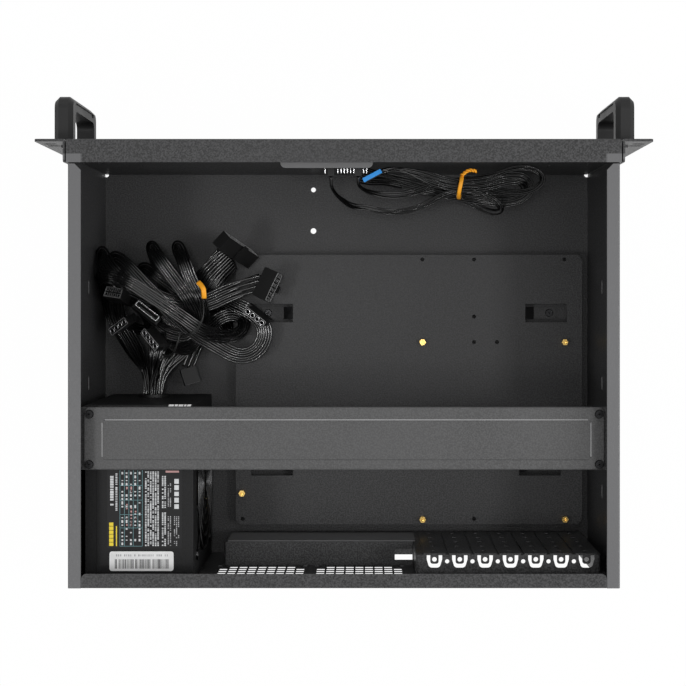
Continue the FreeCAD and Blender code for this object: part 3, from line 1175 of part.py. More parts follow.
def main():
    os.makedirs("parts", exist_ok=True)
    ear = rack_ear()
    bow = handle()
    bracket = beam_bracket()
    save("chassis_tub", chassis_tub())
    save("rear_panel", rear_panel())
    save("front_panel", front_panel())
    save("rack_ear_left", ear)
    save("rack_ear_right", mirror_x(ear))
    save("handle_left", bow)
    save("handle_right", mirror_x(bow))
    save("rivets", Part.makeCompound(rivets(EAR_RIVETS, INNER_W, EAR_LEG_X + EAR_LEG_T)
                                     + rivets(BRACKET_RIVETS, INNER_W - SHEET, HALF_W)))
    save("module_bracket", module_bracket())
    save("module_face", module_face())
    save("module_board", module_board())
    save("power_button", button_cap(*BUTTONS[0]))
    save("reset_button", button_cap(*BUTTONS[1]))
    save("indicator_lamps", Part.makeCompound(indicator_lamps()))
    save("usb_ports", Part.makeCompound([usb_port(x, z) for x, z in USB_PORTS]))
    save("motherboard_tray", motherboard_tray())
    save("board_standoffs", Part.makeCompound(standoffs()))
    save("cross_beam", cross_beam())
    save("beam_bracket_left", bracket)
    save("beam_bracket_right", mirror_x(bracket))
    save("io_blank_plate", io_blank_plate())
    for i in range(SLOT_COUNT):
        save("slot_cover_" + str(i + 1), slot_cover(i))
    save("psu_base", psu_base())
    save("psu_cover", psu_cover())
    save("psu_fan_frame", psu_fan_frame())
    save("psu_fan_rotor", psu_fan_rotor())
    save("psu_fan_guard", psu_fan_guard())
    save("psu_inlet", psu_inlet())
    save("psu_rocker_frame", psu_rocker_frame())
    save("psu_rocker", psu_rocker())
    save("psu_board", psu_board())
    save("psu_gland", psu_gland())
    save("case_screws", Part.makeCompound(tray_screws() + beam_screws() + psu_screws()
                                          + handle_screws(1) + handle_screws(-1)))
    save("psu_labels", Part.makeCompound(psu_labels()))
    for name in CABLES:
        save(name, cable(name))
    for name, shape in plugs().items():
        save(name, shape)
    save("header_plugs", Part.makeCompound(header_plugs()))
    save("twist_ties", Part.makeCompound(twist_ties()))


main()
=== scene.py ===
"""An open-topped rack case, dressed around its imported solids.

The solids come from the frame and stay as they are: this script gives each its finish, makes the
wires, the labels, the contacts and the other small things that lie on them, and sets the lights
and the camera. Lengths are in metres unless a note says millimetres.
"""
import json
import logging
import math
import random
from dataclasses import dataclass, field
from enum import Enum
from typing import Sequence

import bpy
import numpy as np
from mathutils import Matrix, Vector


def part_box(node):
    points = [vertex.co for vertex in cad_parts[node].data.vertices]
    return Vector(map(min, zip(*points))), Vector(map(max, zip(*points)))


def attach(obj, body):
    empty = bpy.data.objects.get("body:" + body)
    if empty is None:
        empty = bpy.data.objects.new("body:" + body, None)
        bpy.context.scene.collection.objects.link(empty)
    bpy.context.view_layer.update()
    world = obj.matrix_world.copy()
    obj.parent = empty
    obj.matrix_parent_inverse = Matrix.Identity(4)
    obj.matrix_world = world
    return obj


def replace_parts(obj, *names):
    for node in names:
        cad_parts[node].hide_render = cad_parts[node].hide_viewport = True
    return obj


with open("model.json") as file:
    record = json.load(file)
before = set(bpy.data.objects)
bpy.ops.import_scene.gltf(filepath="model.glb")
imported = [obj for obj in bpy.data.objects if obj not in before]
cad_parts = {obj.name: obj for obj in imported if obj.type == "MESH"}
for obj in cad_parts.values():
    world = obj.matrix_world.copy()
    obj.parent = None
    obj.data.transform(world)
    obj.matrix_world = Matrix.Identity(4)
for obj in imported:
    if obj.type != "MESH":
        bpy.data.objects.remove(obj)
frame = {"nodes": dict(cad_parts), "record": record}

LOG = logging.getLogger("rack_case")
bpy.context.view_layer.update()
MM = 0.001
CASE = "case"
Point = tuple[float, float, float]
Colour = tuple[float, float, float]
Range = tuple[float, float]
Socket = bpy.types.NodeSocket
Thing = bpy.types.Object
WHITE = (1.0, 1.0, 1.0)


# --- node trees ---
class Nodes:
    """A node tree that is built by short calls."""

    def __init__(self, tree: bpy.types.NodeTree) -> None:
        """Takes over a tree and empties it."""
        self.tree = tree
        tree.nodes.clear()

    def add(self, kind: str, inputs: dict | None = None, **settings: object) -> bpy.types.Node:
        """Adds a node.

        Args:
            kind: The node's type name.
            inputs: Socket names or numbers, with what feeds each.
            settings: The node's own properties.

        Returns:
            The new node.
        """
        node = self.tree.nodes.new(kind)
        for key, value in settings.items():
            setattr(node, key, value)
        for key, value in (inputs or {}).items():
            self.feed(node.inputs[key], value)
        return node

    def get(self, kind: str, inputs: dict | None = None, output: str | int = 0,
            **settings: object) -> Socket:
        """Adds a node and returns one of its outputs, the first by default."""
        return self.add(kind, inputs, **settings).outputs[output]

    def feed(self, socket: Socket, value: object) -> None:
        """Joins a socket to others, or sets it.

        Args:
            socket: The socket.
            value: Another socket, a list of sockets, a value, or a colour's three channels.
        """
        if isinstance(value, (Socket, list)):
            for source in value if isinstance(value, list) else [value]:
                self.tree.links.new(source, socket)
        else:
            socket.default_value = (*value, 1.0) if socket.type == "RGBA" else value

    def math(self, operation: str, first: Socket, second: Socket | float = 0.0) -> Socket:
        """Works out a number from one or two others."""
        return self.get("ShaderNodeMath", {0: first, 1: second}, operation=operation)

    def white_rays(self) -> Socket:
        """Tells camera, glossy and transmitted rays from the rest.

        Returns:
            A socket that is 1 for those rays and 0 for the others.
        """
        path = self.add("ShaderNodeLightPath")
        share = path.outputs["Is Camera Ray"]
        for name in ("Is Glossy Ray", "Is Transmission Ray"):
            share = self.math("MAXIMUM", share, path.outputs[name])
        return share

    def mix(self, output: str, share: Socket, rest: Socket, white: Socket) -> None:
        """Ends the tree in a mix of two shaders, by the share of the second one."""
        both = self.get("ShaderNodeMixShader", {0: share, 1: rest, 2: white})
        self.add(output, {"Surface": both})


class Graph(Nodes):
    """The nodes of one material, with its colour and the middle of its roughness."""

    def __init__(self, name: str, colour: Colour = WHITE, roughness: float = 0.5) -> None:
        """Starts a material that holds only its coordinates.

        Args:
            name: The material's name.
            colour: Its colour.
            roughness: The middle of its roughness.
        """
        self.material = bpy.data.materials.new(name)
        self.material.use_nodes = True
        super().__init__(self.material.node_tree)
        self.colour, self.roughness = colour, roughness
        self.place = self.get("ShaderNodeTexCoord", output="Object")

    def tint(self, share: float) -> Colour:
        """Makes the colour lighter or darker by a share of itself."""
        return tuple(min(1.0, channel * (1.0 + share)) for channel in self.colour)

    def noise(self, scale: float, detail: float = 2.0, place: Socket | None = None,
              squash: Point | None = None) -> Socket:
        """Adds a noise.

        Args:
            scale: Grains per metre.
            detail: Octaves.
            place: The coordinates it reads, the piece's own by default.
            squash: A scale for each axis of the coordinates.

        Returns:
            The noise's value.
        """
        place = place or self.place
        if squash:
            place = self.get("ShaderNodeMapping", {"Vector": place, "Scale": squash})
        return self.get("ShaderNodeTexNoise", {"Vector": place, "Scale": scale, "Detail": detail})

    def span(self, value: Socket, low: float = 0.0, high: float = 1.0, from_low: float = 0.3,
             from_high: float = 0.7) -> Socket:
        """Maps a value from a range, a noise's usual one by default, onto another range."""
        limits = {"From Min": from_low, "From Max": from_high, "To Min": low, "To Max": high}
        return self.get("ShaderNodeMapRange", {"Value": value, **limits})

    def rough(self, value: Socket, less: float, more: float) -> Socket:
        """Lets the roughness wander with a value."""
        return self.span(value, self.roughness - less, self.roughness + more)

    def blend(self, share: Socket, first: Socket | Colour, second: Socket | Colour) -> Socket:
        """Mixes two colours by a share of the second one."""
        inputs = {"Factor": share, 6: first, 7: second}
        return self.get("ShaderNodeMix", inputs, 2, data_type="RGBA")

    def clouds(self, scale: float, detail: float, darker: float, lighter: float
               ) -> tuple[Socket, Socket]:
        """Adds slow clouds and lets the colour wander with them.

        Args:
            scale: Clouds per metre.
            detail: Octaves.
            darker: The share by which the colour gets darker.
            lighter: The share by which it gets lighter.

        Returns:
            The clouds' value and the colour.
        """
        cloud = self.noise(scale, detail)
        return cloud, self.blend(self.span(cloud), self.tint(-darker), self.tint(lighter))

    def bump(self, height: Socket, distance: float, strength: float, **under: Socket) -> Socket:
        """Adds a bump of that depth in metres, over another one given as Normal."""
        inputs = {"Height": height, "Distance": distance, "Strength": strength, **under}
        return self.get("ShaderNodeBump", inputs)

    def shade(self, **values: object) -> None:
        """Ends the material in a principled shader.

        Args:
            values: What feeds its sockets, by name, with underscores for spaces.
        """
        inputs = {key.replace("_", " "): value for key, value in values.items()}
        shader = self.get("ShaderNodeBsdfPrincipled", inputs)
        self.add("ShaderNodeOutputMaterial", {"Surface": shader})


# --- finishes ---
@dataclass(frozen=True)
class Finish:
    """A finish: slow clouds of tone under one fine texture. Its kinds set the constants.

    Attributes:
        name: The material's name.
        colour: Its colour.
        roughness: The middle of its roughness.
        gloss: The shader's specular level.
        grain: The texture's grains per metre.
    """

    name: str
    colour: Colour
    roughness: float
    gloss: float = 0.5
    grain: float = 1000.0

    # The clouds' scale and octaves, and how far they darken and lighten the colour; how far the
    # roughness wanders down and up; the texture's depth and strength.
    CLOUDS = (60.0, 3.0, 0.12, 0.18)
    WANDER = (0.07, 0.09)
    RELIEF = (0.00002, 0.7)
    OCTAVES = 3.0
    METAL = 0.0
    ROUGH_BY_CLOUD = False

    def make(self) -> bpy.types.Material:
        """Builds the material.

        Returns:
            The material.
        """
        graph = Graph(self.name, self.colour, self.roughness)
        self.fill(graph)
        return graph.material

    def fill(self, graph: Graph) -> None:
        """Adds the clouds and the texture to the material.

        Args:
            graph: The material's nodes.
        """
        texture = self.texture(graph)
        cloud, tone = graph.clouds(*self.CLOUDS)
        guide = cloud if self.ROUGH_BY_CLOUD else texture
        graph.shade(Base_Color=self.wash(graph, texture, tone), Metallic=self.METAL,
                    Roughness=graph.rough(guide, *self.WANDER), Specular_IOR_Level=self.gloss,
                    Normal=graph.bump(texture, *self.RELIEF))

    def texture(self, graph: Graph) -> Socket:
        """Adds the fine texture."""
        return graph.noise(self.grain, self.OCTAVES)

    def wash(self, graph: Graph, texture: Socket, tone: Socket) -> Socket:
        """Changes the clouds' tone by the texture, where a kind does so."""
        return tone


@dataclass(frozen=True)
class PowderCoat(Finish):
    """Baked paint with a fine pebbled texture, as many pebbles per metre as grains.

    Attributes:
        depth: Depth of the pebbles.
        rail: How far the side rails' tone is lifted: painted light on the wall tops.
        fleck: How far the pebbles' tops are lighter.
    """

    depth: float = 0.00010
    rail: float = 0.0
    fleck: float = 2.0

    # Where the painted light on the rails lies: a band of the walls' X, limited in height and at the
    # front.
    RAIL_SIDE = (0.2035, 0.2055)
    RAIL_LIMITS = (("Z", 0.1755, 0.1765), ("Y", -0.1640, -0.1630))

    def fill(self, graph: Graph) -> None:
        """Mottles the paint, flecks its pebbles and paints light onto the rails.

        Args:
            graph: The material's nodes.
        """
        cells = {"Vector": graph.place, "Scale": self.grain}
        pebbles = graph.get("ShaderNodeTexVoronoi", cells, feature="SMOOTH_F1")
        cloud, tone = graph.clouds(14.0, 4.0, 0.10, 0.10)
        speck = graph.noise(self.grain * 0.85)
        flecks = graph.span(speck, from_low=0.40, from_high=0.64)
        tone = graph.blend(flecks, tone, graph.tint(self.fleck))
        # Painted light: the rails' tone is lifted to stand in for the light that falls on the wall
        # tops.
        if self.rail:
            tone = graph.blend(self.rails(graph), tone, graph.tint(self.rail))
        under = graph.bump(cloud, 0.0004, 0.4)
        graph.shade(Base_Color=tone, Roughness=graph.rough(speck, 0.12, 0.14),
                    Specular_IOR_Level=self.gloss,
                    Normal=graph.bump(pebbles, self.depth, 0.9, Normal=under))

    def rails(self, graph: Graph) -> Socket:
        """Marks the tops of the two side walls, where the painted light goes.

        Args:
            graph: The material's nodes.

        Returns:
            A socket that is 1 on the rails.
        """
        axes = graph.add("ShaderNodeSeparateXYZ", {"Vector": graph.place})
        far = graph.math("ABSOLUTE", axes.outputs["X"])
        share = graph.span(far, 0.0, 1.0, *self.RAIL_SIDE)
        for axis, start, end in self.RAIL_LIMITS:
            inside = graph.span(axes.outputs[axis], 0.0, 1.0, start, end)
            share = graph.math("MULTIPLY", share, inside)
        return share


@dataclass(frozen=True)
class SmoothPaint(Finish):
    """Plain satin paint with a slight orange peel."""

    gloss: float = 0.28
    grain: float = 420.0

    CLOUDS = (22.0, 3.0, 0.08, 0.12)
    WANDER = (0.05, 0.07)
    RELIEF = (0.00005, 0.5)
    OCTAVES = 2.0
    ROUGH_BY_CLOUD = True


@dataclass(frozen=True)
class Moulded(Finish):
    """Moulded plastic with a faint spark-eroded grain."""

    gloss: float = 0.3
    grain: float = 2600.0


@dataclass(frozen=True)
class BareMetal(Finish):
    """Bare or plated metal, with the marks of its making along one axis.

    Attributes:
        marks: Stretch of the marks along each axis: a small number is the long way.
    """

    grain: float = 1800.0
    marks: Point = (0.08, 1.0, 1.0)

    CLOUDS = (40.0, 4.0, 0.15, 0.15)
    WANDER = (0.08, 0.10)
    RELIEF = (0.00001, 0.5)
    METAL = 1.0

    def texture(self, graph: Graph) -> Socket:
        """Adds the marks."""
        return graph.noise(self.grain, 3.0, squash=self.marks)


@dataclass(frozen=True)
class Insulation(Finish):
    """Soft wire insulation, with faint marks of its drawing along the wire."""

    gloss: float = 1.0

    CLOUDS = (90.0, 3.0, 0.2, 0.35)
    WANDER = (0.06, 0.10)
    RELIEF = (0.00002, 0.3)
    STRETCH = (5.0, 60.0, 1.0)

    def texture(self, graph: Graph) -> Socket:
        """Adds the streaks along the wire."""
        along = graph.get("ShaderNodeUVMap", uv_map="wire")
        return graph.noise(1.0, 3.0, place=along, squash=self.STRETCH)


@dataclass(frozen=True)
class BoardLaminate(Finish):
    """Circuit board with solder mask over fine tracks."""

    grain: float = 320.0

    CLOUDS = (150.0, 3.0, 0.2, 0.25)
    WANDER = (0.0, 0.12)
    RELIEF = (0.00003, 0.6)
    ROUGH_BY_CLOUD = True

    def texture(self, graph: Graph) -> Socket:
        """Adds the tracks.

        Args:
            graph: The material's nodes.

        Returns:
            A socket that is bright on a track.
        """
        return graph.get("ShaderNodeTexBrick", {
            "Vector": graph.place, "Scale": self.grain, "Mortar Size": 0.06,
            "Color1": (0.0, 0.0, 0.0), "Color2": (0.15, 0.15, 0.15), "Mortar": WHITE})

    def wash(self, graph: Graph, texture: Socket, tone: Socket) -> Socket:
        """Makes the mask lighter over the tracks."""
        return graph.blend(texture, tone, graph.tint(0.6))


@dataclass(frozen=True)
class Film(Finish):
    """Printed film, paper or ink, with a faint fibre and a little wear.

    Attributes:
        wear: How far worn specks reach towards grey.
    """

    gloss: float = 0.18
    grain: float = 1400.0
    wear: float = 0.12

    CLOUDS = (120.0, 2.0, 0.06, 0.06)
    WANDER = (0.06, 0.10)
    RELIEF = (0.00001, 0.5)
    GREY = (0.3, 0.3, 0.3)

    def wash(self, graph: Graph, texture: Socket, tone: Socket) -> Socket:
        """Wears the print a little."""
        return graph.blend(graph.span(texture, 0.0, self.wear), tone, self.GREY)


@dataclass(frozen=True)
class Lens(Finish):
    """A small diffused lamp lens."""

    def fill(self, graph: Graph) -> None:
        """Clouds the lens.

        Args:
            graph: The material's nodes.
        """
        cloud, tone = graph.clouds(500.0, 2.0, 0.0, 0.3)
        rough = graph.rough(cloud, 0.0, 0.15)
        graph.shade(Base_Color=tone, Roughness=rough, Transmission_Weight=0.5)


# How marks that run up a piece are stretched: on turned brass, and on the finer contacts.
TURNED, DRAWN = (1.0, 1.0, 0.1), (1.0, 1.0, 0.2)
# The case's finishes: first those of the record's material slots, then those of small pieces.
FINISHES = {
    # The case paint's rails carry painted light: their tone is lifted by this share.
    "case_paint": PowderCoat("black_powder", (0.018, 0.018, 0.0185), 0.42, 0.26, rail=5.2),
    "handle_paint": SmoothPaint("handle_satin", (0.006, 0.006, 0.0062), 0.48),
    "screw_steel": BareMetal("black_oxide", (0.026, 0.026, 0.027), 0.30),
    "rivet_steel": BareMetal("dull_rivet", (0.09, 0.09, 0.092), 0.42),
    "brass": BareMetal("turned_brass", (0.74, 0.50, 0.16), 0.26, 0.5, 2400.0, TURNED),
    "zinc_plate": BareMetal("zinc_sheet", (0.50, 0.51, 0.52), 0.36, 0.5, 1600.0, (0.05, 1.0, 1.0)),
    "blank_plate": SmoothPaint("blank_plate_coat", (0.120, 0.120, 0.122), 0.42),
    "grey_paint": SmoothPaint("light_grey_satin", (0.125, 0.125, 0.127), 0.45),
    "grey_plastic": Moulded("dark_grey_moulding", (0.03, 0.03, 0.031), 0.45),
    "board_laminate": BoardLaminate("green_board", (0.012, 0.07, 0.04), 0.3),
    "button_plastic": Moulded("glossy_button", (0.02, 0.02, 0.02), 0.24),
    "lamp_plastic": Lens("lamp_lens", (0.55, 0.62, 0.58), 0.15),
    "supply_paint": PowderCoat("supply_powder", (0.004, 0.004, 0.0042), 0.5, 0.16, 1600.0, 0.00004),
    "black_plastic": Moulded("black_moulding", (0.007, 0.007, 0.007), 0.42),
    "guard_wire": BareMetal("guard_coat", (0.06, 0.06, 0.061), 0.3),
    "label_film": Film("label_film", (0.005, 0.005, 0.0056), 0.42, wear=0.01),
    "plug_plastic": Moulded("plug_nylon", (0.005, 0.005, 0.0052), 0.5, grain=1800.0),
    "cable_sheath": Insulation("black_insulation", (0.003, 0.003, 0.0032), 0.17),
    "tie_plastic": Moulded("tie_coating", (0.86, 0.36, 0.02), 0.4, grain=1500.0),
    # A lighter copy of the case paint for the cross beam: painted light on its top.
    "painted_light_beam": PowderCoat("beam_powder_painted_light", (0.055, 0.055, 0.0556), 0.42, 0.26, fleck=0.5),
    # Light grey that stands in for the highlights on the beam panel's folds: painted highlight.
    "fold_highlight_paint": SmoothPaint("painted_fold_highlight", (0.400, 0.400, 0.404), 0.4),
    "thin_sheath": Insulation("thin_insulation", (0.0016, 0.0016, 0.0017), 0.13, 0.45),
    "grey_sheath": Insulation("grey_insulation", (0.030, 0.030, 0.031), 0.36),
    "strap_web": Moulded("strap_web", (0.014, 0.014, 0.014), 0.24, grain=3000.0),
    "tin": BareMetal("tinned_contact", (0.62, 0.62, 0.63), 0.24, 0.5, 3000.0, DRAWN),
    "gold": BareMetal("gold_flash", (0.80, 0.58, 0.26), 0.26, 0.5, 3000.0, DRAWN),
    # Light grey that stands in for the light on the plugs' moulded edges: painted highlight.
    "edge_highlight_paint": Moulded("nylon_edge_highlight", (0.26, 0.26, 0.262), 0.36, grain=2400.0),
    "blue_housing": Moulded("blue_housing", (0.01, 0.26, 0.72), 0.34, grain=1800.0),
    "pale_housing": Moulded("pale_housing", (0.62, 0.62, 0.60), 0.4, grain=1800.0),
    "paper": Film("sticker_paper", (0.74, 0.74, 0.74), 0.45, wear=0.05),
    "black_ink": Film("black_ink", (0.02, 0.02, 0.022), 0.38),
    "grey_ink": Film("grey_ink", (0.36, 0.36, 0.37), 0.38),
    "pale_ink": Film("pale_ink", (0.56, 0.57, 0.58), 0.38),
    "teal_ink": Film("teal_ink", (0.14, 0.30, 0.32), 0.38),
    "rose_ink": Film("rose_ink", (0.46, 0.26, 0.25), 0.38),
    "yellow_ink": Film("yellow_ink", (0.78, 0.60, 0.03), 0.38),
}
MADE: dict[str, bpy.types.Material] = {}


def finish(name: str) -> bpy.types.Material:
    """Gives a finish's material, made once.

    Args:
        name: The finish's name in the table.

    Returns:
        The material.
    """
    if name not in MADE:
        MADE[name] = FINISHES[name].make()
    return MADE[name]


# --- meshes ---
@dataclass
class Shell:
    """Vertices and faces gathered for one mesh.

    Attributes:
        points: The vertices.
        faces: The faces, as vertex numbers.
        wire_uv: For each face, the place of each corner along and round a wire.
        smooth: Whether the faces are shaded smooth.
    """

    points: list = field(default_factory=list)
    faces: list = field(default_factory=list)
    wire_uv: list = field(default_factory=list)
    smooth: bool = True

    def tube(self, line: np.ndarray, radius: float, sides: int, flat: float = 1.0) -> None:
        """Adds a closed tube along a line.

        Args:
            line: The points of its middle.
            radius: Its radius.
            sides: Its sides.
            flat: The height of its section as a share of its width.
        """
        side, up = carried_frame(unit(np.gradient(line, axis=0)))
        first, run = len(self.points), run_of(line)
        turns = np.linspace(0.0, 2.0 * math.pi, sides, endpoint=False)[None, :, None]
        ring = np.cos(turns) * side[:, None, :] + flat * np.sin(turns) * up[:, None, :]
        self.points.extend((line[:, None, :] + radius * ring).reshape(-1, 3).tolist())
        for i in range(len(line) - 1):
            for j in range(sides):
                k = (j + 1) % sides
                a, b = first + i * sides, first + (i + 1) * sides
                self.faces.append((a + j, a + k, b + k, b + j))
                u0, u1, v0, v1 = run[i], run[i + 1], j / sides, (j + 1) / sides
                self.wire_uv.append(((u0, v0), (u0, v1), (u1, v1), (u1, v0)))
        last = first + (len(line) - 1) * sides
        self.cap([first + j for j in reversed(range(sides))])
        self.cap([last + j for j in range(sides)])

    def cap(self, ring: Sequence[int]) -> None:
        """Adds one face that isn't part of a wire's side."""
        self.faces.append(tuple(ring))
        self.wire_uv.append(tuple((0.0, 0.0) for _ in ring))

    def box(self, low: Point, high: Point) -> None:
        """Adds a box between two corners."""
        outline = [(low[0], low[1]), (high[0], low[1]), (high[0], high[1]), (low[0], high[1])]
        self.slab(outline, low[2], high[2])

    def slab(self, outline: Sequence[Range], low: float, high: float) -> None:
        """Adds an upright prism.

        Args:
            outline: Its outline, anticlockwise.
            low: The height of its underside.
            high: The height of its top.
        """
        first, count = len(self.points), len(outline)
        for z in (low, high):
            self.points.extend([(x, y, z) for x, y in outline])
        self.cap([first + i for i in reversed(range(count))])
        self.cap([first + count + i for i in range(count)])
        for i in range(count):
            j = (i + 1) % count
            self.cap([first + i, first + j, first + count + j, first + count + i])

    def piece(self, name: str, slot: str, look: str | None = None,
              matrix: Matrix = Matrix.Identity(4)) -> Thing:
        """Makes the mesh an object that rides on the case.

        Args:
            name: The object's name.
            slot: The record's material slot.
            look: The finish, the slot's own by default.
            matrix: Where the mesh goes.

        Returns:
            The object.
        """
        mesh = bpy.data.meshes.new(name)
        mesh.from_pydata(self.points, [], self.faces)
        layer = mesh.uv_layers.new(name="wire")
        flat = [place for face in self.wire_uv for place in face]
        layer.data.foreach_set("uv", np.array(flat, dtype=np.float32).ravel())
        mesh.transform(matrix)
        mesh.polygons.foreach_set("use_smooth", [self.smooth] * len(mesh.polygons))
        mesh.validate()
        return seat(mesh, name, slot, look)


def placed(name: str, data: bpy.types.ID) -> Thing:
    """Makes an object of a mesh, a light or a camera.

    Args:
        name: The object's name.
        data: What it holds.

    Returns:
        The object, linked to the scene.
    """
    thing = bpy.data.objects.new(name, data)
    bpy.context.scene.collection.objects.link(thing)
    return thing


def seat(mesh: bpy.types.Mesh, name: str, slot: str, look: str | None = None) -> Thing:
    """Makes a mesh an object on the case.

    Args:
        mesh: The mesh, in its place.
        name: The object's name.
        slot: The record's material slot.
        look: The finish, the slot's own by default.

    Returns:
        The object.
    """
    thing = placed(name, mesh)
    mesh.materials.clear()
    mesh.materials.append(finish(look or slot))
    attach(thing, CASE)
    return thing


def unit(rows: np.ndarray) -> np.ndarray:
    """Scales each row to length one."""
    return rows / np.maximum(np.linalg.norm(rows, axis=-1, keepdims=True), 1e-9)


def run_of(line: np.ndarray) -> np.ndarray:
    """Measures how far along a line each of its points is."""
    return np.concatenate([[0.0], np.cumsum(np.linalg.norm(np.diff(line, axis=0), axis=1))])


def turned(angles: np.ndarray, side: np.ndarray, up: np.ndarray) -> np.ndarray:
    """Turns from one direction towards another, by an angle at each point."""
    return np.cos(angles)[:, None] * side + np.sin(angles)[:, None] * up


def carried_frame(tangents: np.ndarray) -> tuple[np.ndarray, np.ndarray]:
    """Carries a pair of cross directions along a line without twisting it.

    Args:
        tangents: The line's direction at each point.

    Returns:
        The two directions at each point.
    """
    side = np.zeros_like(tangents)
    steep = abs(tangents[0][2]) >= 0.9
    current = np.cross((1.0, 0.0, 0.0) if steep else (0.0, 0.0, 1.0), tangents[0])
    for i, tangent in enumerate(tangents):
        current = current - tangent * float(current @ tangent)
        current = current / max(float(np.linalg.norm(current)), 1e-9)
        side[i] = current
    return side, np.cross(tangents, side)


def smooth_line(points: Sequence[Point], closed: bool = False) -> np.ndarray:
    """Reads the points of a smooth spline through a route.

    Args:
        points: The spline's control points in millimetres.
        closed: Whether it comes back to its start.

    Returns:
        Its points in metres.
    """
    curve = bpy.data.curves.new("route", "CURVE")
    curve.dimensions = "3D"
    spline = curve.splines.new("NURBS")
    spline.points.add(len(points) - 1)
    for control, (x, y, z) in zip(spline.points, points):
        control.co = (x * MM, y * MM, z * MM, 1.0)
    spline.order_u = 3
    spline.use_endpoint_u = not closed
    spline.use_cyclic_u = closed
    spline.resolution_u = 16
    holder = bpy.data.objects.new(curve.name, curve)
    mesh = bpy.data.meshes.new_from_object(holder)
    line = np.array([tuple(vertex.co) for vertex in mesh.vertices])
    bpy.data.objects.remove(holder)
    bpy.data.meshes.remove(mesh)
    bpy.data.curves.remove(curve)
    return np.vstack([line, line[:1]]) if closed else line


def resampled(line: np.ndarray, step: float) -> np.ndarray:
    """Spaces the points of a line evenly.

    Args:
        line: The line's points.
        step: About how far apart they get.

    Returns:
        The new points.
    """
    run = run_of(line)
    marks = np.linspace(0.0, run[-1], max(8, round(run[-1] / step)))
    return np.stack([np.interp(marks, run, line[:, axis]) for axis in range(3)], axis=1)


def ease(value: np.ndarray) -> np.ndarray:
    """Rises smoothly from 0 to 1."""
    value = np.clip(value, 0.0, 1.0)
    return value * value * (3.0 - 2.0 * value)


def evened(values: np.ndarray, reach: int) -> np.ndarray:
    """Sums each value with its neighbours, by a bell of that half width.

    Args:
        values: The values.
        reach: How many neighbours count on each side.

    Returns:
        The sums.
    """
    kernel = np.exp(-0.5 * (np.arange(-reach, reach + 1) / (reach / 2.2)) ** 2)
    return np.convolve(np.pad(values, reach, mode="edge"), kernel, "valid")


# --- cables ---
class FarEnd(Enum):
    """What a cable ends in."""

    CONNECTOR = "connector"
    BARE = "bare"


